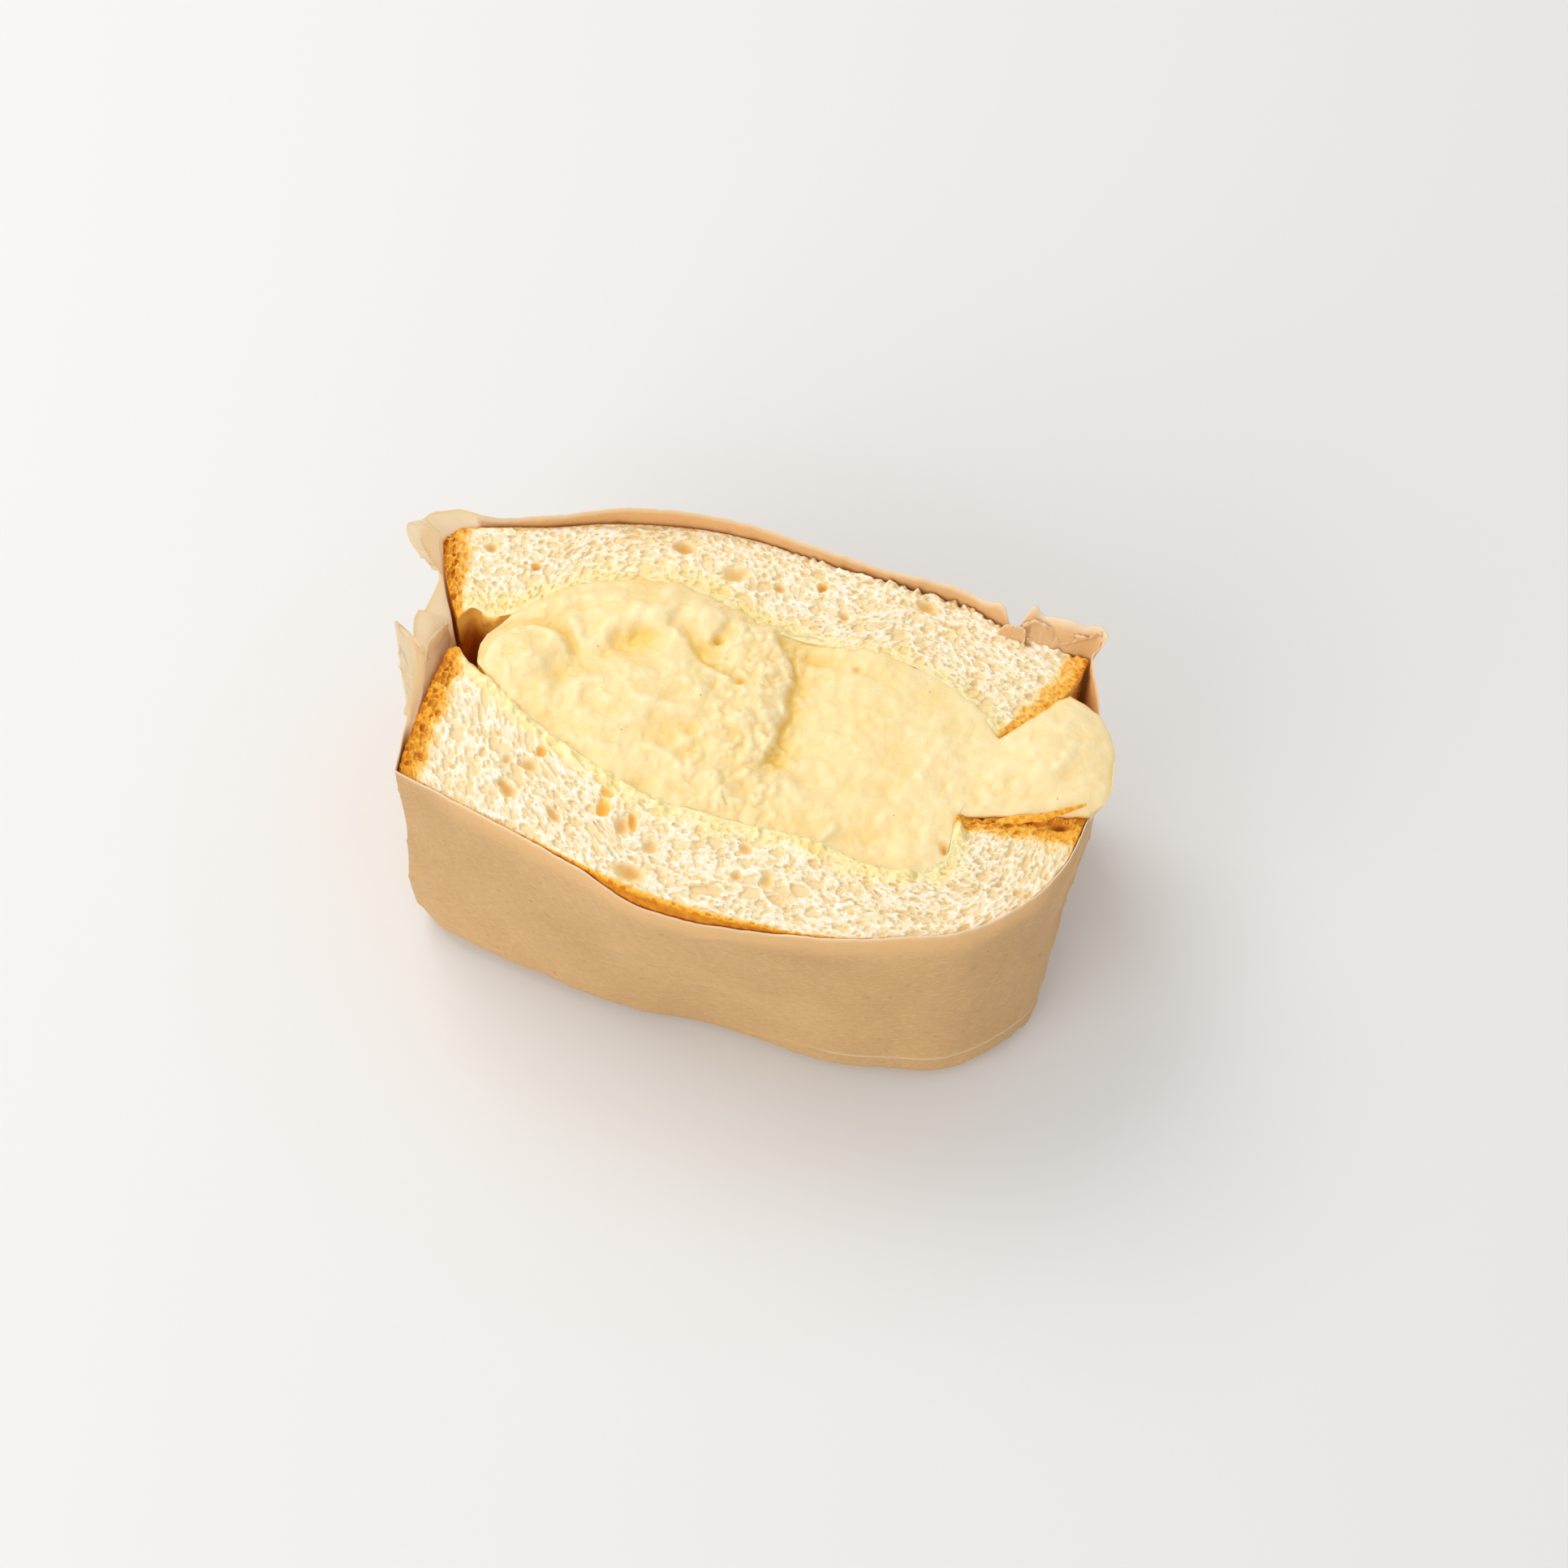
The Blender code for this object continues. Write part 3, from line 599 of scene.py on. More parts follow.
backSlice = {
    "name": "bread_back", "node": "bread_slice_back", "plan": backPlan, "seed": 47.0,
    "leftCrust": (5.6, 5.2, 3.6, 1.8), "rightCrust": (3.6, 3.2, 2.6, 1.8), "toast": (0.85, 0.5),
    "rind": 0.1, "rindBulge": (-45.0, 30.0, 0.4), "stainReach": (9.0, 4.5), "crest": 0.3, "fray": 1.0,
    "flow": {
        "at": (5.0, 30.0, 60.0, 90.0, 125.0), "turn": (65.0, 20.0, 5.0, -5.0, -10.0),
        "long": (1.2, 1.3, 1.3, 1.3, 1.35), "fine": (1.1, 1.0, 1.0, 1.2, 1.35),
    },
    "holes": (
        (-21.8, 37.9, 2.6, 1.7, -5, 1.5, 0.0), (-10.7, 33.4, 2.9, 2.0, -10, 1.3, 0.0),
        (6.3, 33.4, 1.2, 1.1, 0, 1.7, 0.35), (26.7, 32.4, 2.4, 1.6, -15, 1.4, 0.0),
        (-49.0, 28.5, 1.1, 1.0, 0, 1.7, 0.8), (-2.0, 32.0, 1.4, 1.1, -20, 1.3, 0.1),
        (11.5, 27.5, 1.3, 0.9, -25, 1.3, 0.1), (-58.5, 31.5, 1.5, 1.2, 0, 1.4, 0.0),
    ),
}


# Places on the crumb, mm, through a metric that stretches a round cell by long towards turn and shrinks it by
# fine. The metric is split into an upper triangle, so the places stay smooth while the turn changes
def crumbPlaces(along, across, flow):
    steps = np.linspace(along.min(), along.max(), 240)
    turn = np.radians(np.interp(steps, flow["at"], flow["turn"]))
    longer = np.interp(steps, flow["at"], flow["long"])
    area = np.interp(steps, flow["at"], flow["fine"]) ** 2
    forward = (np.cos(turn) ** 2 / longer + np.sin(turn) ** 2 * longer) * area
    mixed = np.cos(turn) * np.sin(turn) * (1 / longer - longer) * area
    sideways = (np.sin(turn) ** 2 / longer + np.cos(turn) ** 2 * longer) * area
    first = np.sqrt(forward)
    slant = mixed / first
    second = np.sqrt(sideways - slant**2)
    reached = np.concatenate([[0.0], np.cumsum(0.5 * (first[1:] + first[:-1]) * np.diff(steps))])
    placeU = np.interp(along, steps, reached) + np.interp(along, steps, slant) * across
    return placeU, np.interp(along, steps, second) * across


# Pores of one size: each seed's cell holds one round pore with its own reach and depth, and a thin wall
# stands where the second seed is hardly further than the first. A share of the cells is open
def poreLayer(along, across, size, openShare, wall, seed):
    look = slices
    warpX = along + 0.3 * size * softNoise(along, across, size * 1.1, seed + 3)
    warpY = across + 0.3 * size * softNoise(along, across, size * 1.1, seed + 5)
    near, second, mark = nearestSeeds(warpX, warpY, size, seed)
    reach = look["poreReach"][0] + look["poreReach"][1] * np.abs(np.sin(mark * 91.0))
    slope = look["poreSlope"]
    bowl = easeStep(reach, reach - slope, near) * easeStep(wall, wall + slope, second - near)
    isOpen = easeStep(0.96 - openShare, 1.04 - openShare, mark)
    shallow = look["poreShallow"]
    return bowl * isOpen * (shallow + (1.0 - shallow) * np.abs(np.sin(mark * 57.0)))


# The crumb's wider pores, one layer for each size
def poreRelief(placeU, placeV, seed):
    sink = np.zeros_like(placeU)
    for size, openShare, deep, wall in slices["pores"]:
        layer = deep * poreLayer(placeU, placeV, size, openShare, wall, seed + size)
        sink = np.maximum(sink, layer) + 0.2 * np.minimum(sink, layer)
    return sink


# Round or long holes at named places: sinks as (1 - distance squared) to the power 0.7 inside each one
def namedHoles(x, y, holes):
    depth = np.zeros(x.shape)
    gold = np.zeros(x.shape)
    for centreX, centreY, reachX, reachY, turn, sink, golden in holes:
        angle = np.radians(turn)
        offX = (x - centreX) * np.cos(angle) + (y - centreY) * np.sin(angle)
        offY = (y - centreY) * np.cos(angle) - (x - centreX) * np.sin(angle)
        wobble = 1.0 + 0.45 * softNoise(x, y, 1.5, 77.0) + 0.2 * softNoise(x, y, 0.7, 78.0)
        away = (offX / reachX) ** 2 + (offY / reachY) ** 2
        hollow = np.clip(1.0 - away * wobble, 0.0, 1.0) ** 0.7
        depth = np.maximum(depth, hollow * sink)
        gold = np.maximum(gold, easeStep(0.0, 0.4, hollow) * golden)
    return depth, gold


# A slice: over (station, depth) the cut face stands at cutHeight plus a slow swell, less the pores, the named
# holes and the wear of the crust's edge. The fields tell the material where crust, crumb and stain are
def makeSlice(cut, material):
    look = slices
    station, depth = np.meshgrid(*(np.linspace(0, 1, count + 1) for count in look["steps"]), indexing="ij")
    plan = cut["plan"](station.ravel(), depth.ravel()).reshape(*station.shape, 2)
    x, y = plan[..., 0], plan[..., 1]
    thickness = np.linalg.norm(plan[:, -1] - plan[:, 0], axis=1)[:, None]
    along = station * look["length"]
    toRight = look["length"] - along
    toCrust = depth * thickness
    toEgg = (1.0 - depth) * thickness
    atRight = easeStep(*look["rightEnd"], x)
    seed = cut["seed"]

    bulgeAt, bulgeReach, bulgeMore = cut["rindBulge"]
    rind = cut["rind"] * (1.0 + 0.35 * softNoise(x, y, 4.0, seed)) + bulgeMore * bell(x - bulgeAt, bulgeReach)
    rind *= 1.0 - look["rindLoss"] * easeStep(*look["rindThins"], station)
    uneven = 1.0 + 0.3 * cloudNoise(x, y, 2.5, seed + 1)
    leftWidth, rightWidth = (
        np.interp(depth, np.linspace(0, 1, len(widths)), widths) * uneven
        for widths in (cut["leftCrust"], cut["rightCrust"])
    )
    atEnds = np.maximum(1.0 - along / leftWidth, 1.0 - toRight / rightWidth)
    nearness = np.maximum(atEnds, 1.0 - toCrust / rind)
    crust = easeStep(-0.25, 0.2, nearness)
    brown = cut["toast"][0] + (cut["toast"][1] - cut["toast"][0]) * easeStep(0.3, 0.7, station)
    toast = np.clip(nearness, 0.0, 1.0) * brown

    far, grain = look["wander"]
    placeU, placeV = crumbPlaces(along, toCrust - 0.5 * thickness, cut["flow"])
    placeU = placeU + far * softNoise(x, y, grain, seed + 3)
    placeV = placeV + far * softNoise(x, y, grain, seed + 4)
    crags = np.maximum(*(
        poreLayer(along * longer, toCrust, size, look["cragsOpen"], wall, seed + more) * deep
        for longer, size, wall, more, deep in look["crags"]
    ))
    crags = crags * crust * (0.15 + 0.85 * easeStep(0.0, 0.3, atEnds)) * (1.0 - 0.4 * atRight)
    sink = poreRelief(placeU, placeV, seed) * (1.0 - crust) + crags
    sink *= 1.0 - 0.3 * bell(toEgg, 3.0) - 0.5 * bell(toEgg, 1.2)
    holes, gold = namedHoles(x, y, cut["holes"])
    sink = np.maximum(sink, holes)

    reachLeft, reachRight = cut["stainReach"]
    reach = reachLeft + (reachRight - reachLeft) * easeStep(0.35, 0.7, station)
    stain = 1.0 - easeStep(0.15 * reach, reach, toEgg + 0.3 * reach * cloudNoise(x, y, 3.5, seed + 6))
    stain = np.clip(np.maximum(stain * 0.85, gold), 0.0, 1.0)

    ragged = layered(x, y, (1.0, 2.6, seed + 8), (0.8, 1.2, seed + 18))
    crest = cut["crest"] * bell(toEgg - 1.1, 1.1) * np.maximum(0.4 + 0.9 * ragged, 0.12)
    fray = cut["fray"] * easeStep(2.6, 0.2, toCrust) * easeStep(*look["frayFrom"], along)
    fray = fray * softNoise(along, toCrust, 0.9, seed + 9)
    crumbs = 0.04 * softNoise(along, toCrust, 0.8, seed + 10) + 0.15 * bell(toEgg, 0.8)
    depthWorn, lessWorn, reachWorn = look["wear"]
    toEdge = np.minimum(np.minimum(along, toRight), toCrust)
    worn = (depthWorn - lessWorn * atRight) * np.exp(-toEdge / reachWorn)
    z = cutHeight + look["swell"] * cloudNoise(x, y, 8.0, seed + 7) + crest + fray + crumbs - sink - worn

    edgeX, edgeY, edgeToEgg, edgeCrust, edgeAlong, edgeU, edgeV = (
        borderOf(values) for values in (x, y, toEgg, crust, along, placeU, placeV)
    )
    isEgg = borderOf((depth > 0.999) & (station > 0.02) & (station < 0.98)).astype(float)
    bare = borderOf(easeStep(*look["bareUpTo"], station) * (depth > 0.999))

    def lower(share):
        inset = look["endInset"] * easeStep(0.0, 0.1, share) * easeStep(0.96, 1.0, edgeAlong / look["length"])
        place = edgeAlong + edgeToEgg
        rough = 0.12 * softNoise(place * 1.3, share * 60, 1.1, seed)
        lumpy = 0.9 * bare * softNoise(place, share * 56, 1.9, seed + 60)
        return edgeX - inset + rough * (1.0 - share), edgeY + (rough + lumpy) * (1.0 - share)

    down = np.array(look["rows"])[:, None]
    wallNoise = softNoise(edgeAlong, down * 60.0, 1.4, seed + 20)
    # Painted light: the right end's wall is painted lighter near its top, with less toast and skin
    litEnd = easeStep(0.5, 0.1, down) * easeStep(0.94, 0.99, edgeAlong / look["length"])
    topFields = {
        "pore": sink / 0.75, "stain": stain, "crust": crust, "toast": toast,
        "skin": 0.5 * easeStep(0.9, 1.0, toast), "bare": np.zeros_like(sink),
    }
    wallFields = {
        # The walls against the egg get a high pore value, so they take the deepened stain: partly the egg's
        # stain, partly painted shade
        "pore": np.clip(1.2 + bare + 0.8 * wallNoise, 0, 2) * isEgg,
        "stain": np.minimum(isEgg, 0.9),
        "crust": np.maximum(np.maximum(1.0 - isEgg, bare), edgeCrust),
        "toast": 0.9 - 0.9 * litEnd,
        "skin": (1.0 - litEnd) * (1.0 - isEgg),
        # bare grows further down the torn wall, which turns it from gold to brown: partly crust, partly
        # painted shade
        "bare": bare * (0.3 + 0.7 * easeStep(0.03, 0.2, down + 0.03 * wallNoise)),
    }
    below = np.stack(np.broadcast_arrays(edgeU, edgeV + cutHeight * down), axis=-1)
    places = np.concatenate([np.stack([placeU, placeV], axis=-1).reshape(-1, 2), below.reshape(-1, 2)]) * mm
    piece = blockPiece(
        cut["name"], np.stack([x, y, z], axis=-1), lower, look["rows"], look["floor"], topFields, wallFields,
        material, lambda corners: places[corners],
    )
    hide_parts(cut["node"])


egg = {
    "steps": (470, 150),
    "floor": 3.0,
    "outlineCount": 68,
    "gap": 0.15,
    "lobeFront": ((-55.6, 7.4), (-55.3, 5.2)),
    "lobeBack": ((-55.6, 9.2), (-54.8, 11.6), (-53.0, 13.8)),
    "bulgeFront": ((63.8, -6.6), (65.1, -4.2), (65.9, -1.6), (66.0, 1.0)),
    "bulgeBack": (
        (56.6, 16.8), (58.2, 15.3), (60.5, 14.2), (61.9, 12.8), (63.6, 10.9), (64.9, 8.3), (65.6, 5.5),
        (65.6, 3.4),
    ),
    "leaves": (4, 7),  # front and back: the slice's step at which the lobe ends
    "upSteps": (sliceSteps[1], 5),  # and the steps that the filling goes up along the slice's right end
    "heldLine": 62.85,
    "overhang": (49.0, 54.0),
    "rimOverhang": 3.0,
    "laps": ((-1.0, 0.74, 0.35), (1.0, 0.78, 1.0)),  # front and back: the side, where it ends, and how wide
    "lapNoise": ((0.85, 2.4, 71.0), (0.35, 1.1, 72.0)),  # noises: strength, grain and seed
    "wander": ((0.3, 1.6, 63.0), (0.3, 1.6, 67.0)),  # how the lines are shaken, along x and along y
    "lumps": ((0.3, 0.35, 6.5, 8.0), (0.14, 0.28, 3.2, 9.0)),  # strength, more at the left, grain and seed
    "fineLumps": ((0.04, 0.9, 12.0), (0.13, 1.7, 13.0)),
    "curds": ((3.4, 0.45, 0.62), (2.2, 0.45, 0.46), (1.4, 0.35, 0.2)),  # size, share of cells, height
    "frontSlope": (1.0, 3.5),  # the top sinks towards the front by this, with its reach
    "edgeRound": 0.9,  # the top comes down to the crumb over this
    "rows": (0.008, 0.02, 0.036, 0.055, 0.08, 0.11, 0.15, 0.2, 0.27, 0.36, 0.5, 0.7, 0.9, 1.0),
    "rise": 0.5,
    "lobe": (-46.0, 6.0, 9.0, 1.2),  # centre, reach and height of the flat round lobe
    "mounds": (  # centre, reach along x and y, height
        (-23.0, 8.0, 16.0, 17.0, 3.0), (-24.0, 21.5, 10.0, 5.0, 1.5), (-46.5, 5.5, 9.0, 7.0, 0.8),
        (55.5, 3.5, 9.5, 9.5, 2.2), (-12.5, 21.5, 5.5, 4.0, 1.2), (-3.0, 8.0, 6.0, 9.5, 1.1),
        (25.0, 2.0, 18.0, 13.0, 0.7),
    ),
    "ridges": (  # broken line, height and width; the height fades at both ends
        (((-36.9, 8.8), (-34.5, 11.8), (-32.1, 16.8), (-28.3, 19.6), (-21.0, 19.6)), 0.7, 2.4),
        (((-47.4, 0.6), (-50.9, 5.1), (-51.4, 9.6), (-50.0, 11.4)), 0.35, 0.8),
        (((-25.9, -5.3), (-19.3, -8.1), (-11.5, -11.2), (-4.6, -14.3), (2.2, -17.0)), 0.6, 1.7),
        (((-34.9, -2.8), (-35.5, 2.1), (-32.5, 4.1), (-28.7, 4.3)), 0.45, 1.5),
        (((-30.0, -8.5), (-24.0, -9.5), (-18.0, -12.5)), 0.45, 1.2),
        (((-26.0, 2.5), (-21.0, 0.5), (-15.5, 1.0)), 0.4, 1.6),
        (((-16.9, -9.6), (-12.6, -5.4), (-8.5, -2.2), (-3.1, 0.8)), 0.5, 1.3),
        (((12.2, -21.5), (14.8, -22.0), (17.1, -19.0), (17.4, -18.0)), 0.6, 0.8),
        (((51.0, -1.5), (54.5, -1.0), (57.0, 1.5), (58.3, 5.5)), 0.45, 1.2),
        (((27.0, -12.0), (31.0, -6.0), (33.0, 0.0)), 0.25, 1.6),
        (((14.0, -9.0), (19.0, -6.0), (24.0, -7.0)), 0.25, 1.2),
    ),
    "valleys": (  # the same with a depth
        (((-35.7, 6.8), (-32.4, 9.6), (-27.1, 12.2), (-22.1, 14.0), (-17.3, 15.0)), 1.9, 5.2),
        (((-31.5, 11.6), (-29.6, 14.4), (-25.6, 16.4), (-21.0, 16.6)), 0.8, 1.6),
        (((-46.0, 18.0), (-41.2, 16.0), (-38.0, 11.0)), 0.5, 1.2),
        (((-39.3, -4.9), (-35.0, -5.6), (-31.8, -8.5), (-29.0, -12.4)), 0.45, 1.2),
        (((19.0, -21.8), (20.5, -20.2), (24.0, -19.8), (29.7, -17.2)), 0.6, 2.0),
        (((3.0, 17.3), (9.0, 16.6), (15.0, 16.9)), 0.6, 1.3),
        (((39.5, -19.5), (37.5, -18.5)), 2.2, 0.9),
    ),
    "drops": (  # broken line whose left side stands higher, height, width, and how far the drop lasts
        (((0.6, -9.5), (1.6, -7.2), (3.2, -3.5), (3.4, -0.4), (2.6, 0.8), (4.2, 3.3), (3.1, 6.2), (4.3, 10.4),
          (2.9, 14.3), (0.6, 18.4), (-2.0, 21.5)), 2.0, 0.75, 9.0),
        (((-5.6, 6.6), (-6.8, 8.8), (-10.4, 9.7), (-13.4, 12.2), (-16.3, 15.8), (-19.4, 18.6), (-23.0, 20.4)),
         1.3, 0.85, 4.0),
        (((-12.8, 15.2), (-10.9, 18.2), (-10.2, 21.2), (-12.4, 24.4)), 0.9, 0.8, 4.0),
    ),
    "pits": (  # place, reach, depth
        (-11.1, 16.9, 0.9, 1.5), (38.3, -19.6, 1.0, 3.0), (-4.9, 8.6, 0.7, 1.2), (16.0, 15.9, 0.8, 0.9),
    ),
}


# One side of the filling in plan, as the solid's: the lobe, along the slice, up its end, then the bulge
def eggSide(plan, first, upSteps, lobe, bulge, clear):
    along, through = sliceSteps
    run = np.arange(first, along + 1) / along
    up = 1.0 - np.arange(1, upSteps + 1) / through
    contact = plan(np.concatenate([run, np.ones_like(up)]), np.concatenate([np.ones_like(run), up]))
    contact = sidestep(contact, clear)
    start = np.array(lobe)
    left = egg["outlineCount"] - len(start) - len(contact)
    end = evenly(np.concatenate([contact[-1:], np.array(bulge)]), left)
    return np.concatenate([start, contact, end[1:]])


# The filling's surface: bells for mounds, exp(-(distance/width) squared) along lines for ridges and valleys,
# and steps that fall across a line and are made up again further off, with lumps and curds over all
def eggTop(x, y):
    look = egg
    height = np.full_like(x, cutHeight + look["rise"])
    for centreX, centreY, reachX, reachY, rise in look["mounds"]:
        height += rise * np.exp(-(((x - centreX) / reachX) ** 2) - ((y - centreY) / reachY) ** 2)
    wander, waver = (
        cloudNoise(x, y, 7.0, seed) + layered(x, y, fine) for seed, fine in zip((61.0, 64.0), look["wander"])
    )
    for sign, name in ((1.0, "ridges"), (-1.0, "valleys")):
        for line, size, width in look[name]:
            away, share = lineField(x + wander * 0.6, y + waver * 0.6, line)
            height += sign * size * bell(away, width) * (0.35 + 0.65 * np.sin(np.pi * share))
    for line, drop, width, lasts in look["drops"]:
        away, share = lineField(x + wander, y + waver, line)
        fade = easeStep(0.0, 0.12, share) * easeStep(1.0, 0.88, share)
        fallen = drop * (1.0 - easeStep(-width, width, away)) * np.exp(-np.abs(np.minimum(away, 0.0)) / lasts)
        height += fade * (0.1 * bell(away - 1.0, 0.9) - fallen)
    for centreX, centreY, reach, drop in look["pits"]:
        height -= drop * bell(np.hypot(x - centreX, y - centreY), reach)
    rough = 0.3 + 0.7 * easeStep(-16.0, -4.0, x) * easeStep(10.0, 3.0, x) - 0.15 * easeStep(3.0, 10.0, x)
    atLeft = easeStep(6.0, -4.0, x)
    lumps = sum(
        (size + more * atLeft) * softNoise(x, y, grain, seed) for size, more, grain, seed in look["lumps"]
    )
    lumps += layered(x, y, *look["fineLumps"])
    for grain, share, size in look["curds"]:
        warpX = x + 0.3 * grain * softNoise(x, y, grain, 101.0)
        warpY = y + 0.3 * grain * softNoise(x, y, grain, 102.0)
        near, _, mark = nearestSeeds(warpX, warpY, grain, 103.0 + grain)
        curd = np.clip(1.0 - (near / 0.55) ** 2, 0.0, 1.0) ** 0.8
        lumps += size * rough * curd * easeStep(1.0 - share - 0.05, 1.0 - share + 0.05, mark)
    centreX, centreY, reach, tall = look["lobe"]
    away = np.hypot(x - centreX, y - centreY)
    facing = easeStep(-5.0, 1.0, -0.55 * (x - centreX) + 0.83 * (y - centreY))
    moat = 0.9 * facing * bell(away - reach - 0.8, 1.1)
    height += tall * facing * easeStep(reach, reach - 1.4, away) - moat
    return height + lumps


# Values smoothed over a square of grid steps, by sums so far
def blurred(values, reach):
    for axis in (0, 1):
        padded = np.concatenate([
            np.repeat(np.take(values, [0], axis), reach + 1, axis), values,
            np.repeat(np.take(values, [-1], axis), reach, axis),
        ], axis)
        sums = np.cumsum(padded, axis)
        high = np.take(sums, range(2 * reach + 1, sums.shape[axis]), axis)
        low = np.take(sums, range(0, sums.shape[axis] - 2 * reach - 1), axis)
        values = (high - low) / (2 * reach + 1)
    return values


eggLook = {
    "cream": tone(249, 224, 168),
    "yellow": tone(247, 216, 149),
    # painted shade: the deeper yellow laid in the egg's hollows and down its walls
    "deep": tone(245, 203, 94),
    "light": tone(254, 238, 198),
    "speck": tone(206, 168, 92),
    "patches": (170, 4.0, 0.55),  # noises: scale, detail and roughness
    "bits": (330, 3.0, 0.5),
    "fine": (900, 4.0, 0.55),
    "fineBump": (0.3, 0.00025),
    "softBump": (0.5, 0.0006),
    "specks": (380, 0.85),  # scale to the metre, and the share of places without one
    "roughness": 0.36,
    "gloss": 0.4,
    "glow": 0.3,
    "glowReach": (0.0017, 0.0013, 0.0006),
}


def eggMaterial():
    look = eggLook
    material, tree, shader = newMaterial("eggSalad")
    bits = noiseOf(tree, *look["bits"])
    # Painted highlight: the raised places are painted lighter, together with pale bits at random
    crownHighlight = times(tree, fieldOf(tree, "crownHighlight"), 0.45)
    highlightAndPaleBits = mathOf(tree, "MAXIMUM", crownHighlight, times(tree, spread(tree, bits, 0.56, 0.68), 0.3))
    scale, without = look["specks"]
    distance, marks = cellsOf(tree, scale, ownPlaces(tree))
    few = spread(tree, marks[0], without - 0.01, without + 0.01)
    # The colour takes a painted highlight on the raised places and painted shade in the hollows
    colour = paint(
        tree, look, look["cream"], (spread(tree, noiseOf(tree, *look["patches"]), 0.3, 0.7), "yellow"),
        (highlightAndPaleBits, "light"), (spread(tree, fieldOf(tree, "hollow"), 0.05, 1.2), "deep"),
        (times(tree, spread(tree, distance, 0.05, 0.085, 1.0, 0.0), few), "speck"),
    )
    fine = bumpOf(tree, noiseOf(tree, *look["fine"]), *look["fineBump"])
    setFood(tree, shader, look, colour, bumpOf(tree, bits, *look["softBump"], fine))
    return material


# The filling: its plan is drawn between the two outlines, the top laps over the crumb, and the walls fall
# back to the solid's own outline
def makeEgg(material):
    look = egg
    plans = ((frontPlan, "Front", look["gap"]), (backPlan, "Back", -look["gap"]))
    sides = [
        eggSide(plan, first, up, look["lobe" + side], look["bulge" + side], clear)
        for (plan, side, clear), first, up in zip(plans, look["leaves"], look["upSteps"])
    ]
    count = len(sides[0])
    stations, depths = look["steps"]
    at = np.linspace(0, count - 1, stations + 1)
    share = np.linspace(0, 1, stations + 1)
    lines = []
    edges = []
    for corners, (side, last, over) in zip(sides, look["laps"]):
        line = np.stack([np.interp(at, np.arange(count), corners[:, axis]) for axis in (0, 1)], axis=1)
        lineX, lineY = line.T
        first, second = look["lapNoise"]
        ragged = np.maximum(over + layered(lineX, lineY, first) + layered(lineX, lineY, second), 0.05)
        free = 0.35 + layered(lineX, lineY, (0.35, 2.2, 73.0))
        lap = easeStep(0.03, 0.07, share) * easeStep(last, last - 0.04, share)
        lap = lap * ragged + easeStep(0.78, 0.84, share) * free
        lines.append(line)
        edges.append(sidestep(line, side * lap[:, None]))
    depth = np.linspace(0, 1, depths + 1)[None, :, None]
    top, base = (first[:, None] + (second - first)[:, None] * depth for first, second in (edges, lines))
    x, y = top[..., 0], top[..., 1]
    z = eggTop(x, y)
    outline = np.concatenate([edges[0][::4], edges[1][::-4], edges[0][:1]])
    edge = np.abs(lineField(x, y, outline)[0])
    toFront = np.abs(lineField(x, y, edges[0][: int(0.72 * stations) : 4])[0])
    sinks, reach = look["frontSlope"]
    z = z - sinks * np.exp(-toFront / reach)
    plunge = 0.05 + 0.15 * easeStep(40.0, 30.0, x)
    z = z - (z - cutHeight - 0.25) * np.exp(-edge / look["edgeRound"]) - plunge * np.exp(-edge / 0.3)
    # Painted shade: the deeper yellow goes into the concave places, at two scales, and less near the front
    hollow = np.clip((blurred(z, 20) - z - 0.1) / 1.3, 0.0, 1.0)
    hollow += 0.2 * np.clip((blurred(z, 5) - z - 0.02) / 0.3, 0.0, 1.0)
    hollow *= 1.0 - 0.7 * np.exp(-toFront / 5.0)
    # Painted highlight: the raised places get a lighter colour, and the top is also painted lighter towards
    # the right end
    crownHighlight = np.clip((z - blurred(z, 9) - 0.03) / 0.35 + 0.65 * easeStep(18.0, 42.0, x), 0.0, 1.0)
    topX, topY, baseX, baseY = (borderOf(grid[..., axis]) for grid in (top, base) for axis in (0, 1))

    def lower(down):
        drawn = easeStep(0.0, 0.05, down)
        lowX = topX + (baseX - topX) * drawn
        lowY = topY + (baseY - topY) * drawn
        height = cutHeight + (look["floor"] - cutHeight) * down
        beyond = np.clip(lowX - look["heldLine"], 0.0, look["rimOverhang"])
        return lowX - beyond * (1.0 - easeStep(*look["overhang"], height)), lowY

    topFields = {"hollow": np.clip(hollow, 0, 1), "crownHighlight": crownHighlight}
    # The walls are painted deeper yellow further down, as shade
    wallFields = {"hollow": np.clip(np.array(look["rows"])[:, None] * 4.0, 0.1, 0.9), "crownHighlight": 0.0}
    top = np.stack([x, y, z], axis=-1)
    piece = blockPiece("egg_salad", top, lower, look["rows"], look["floor"], topFields, wallFields, material)
    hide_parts("egg_filling")


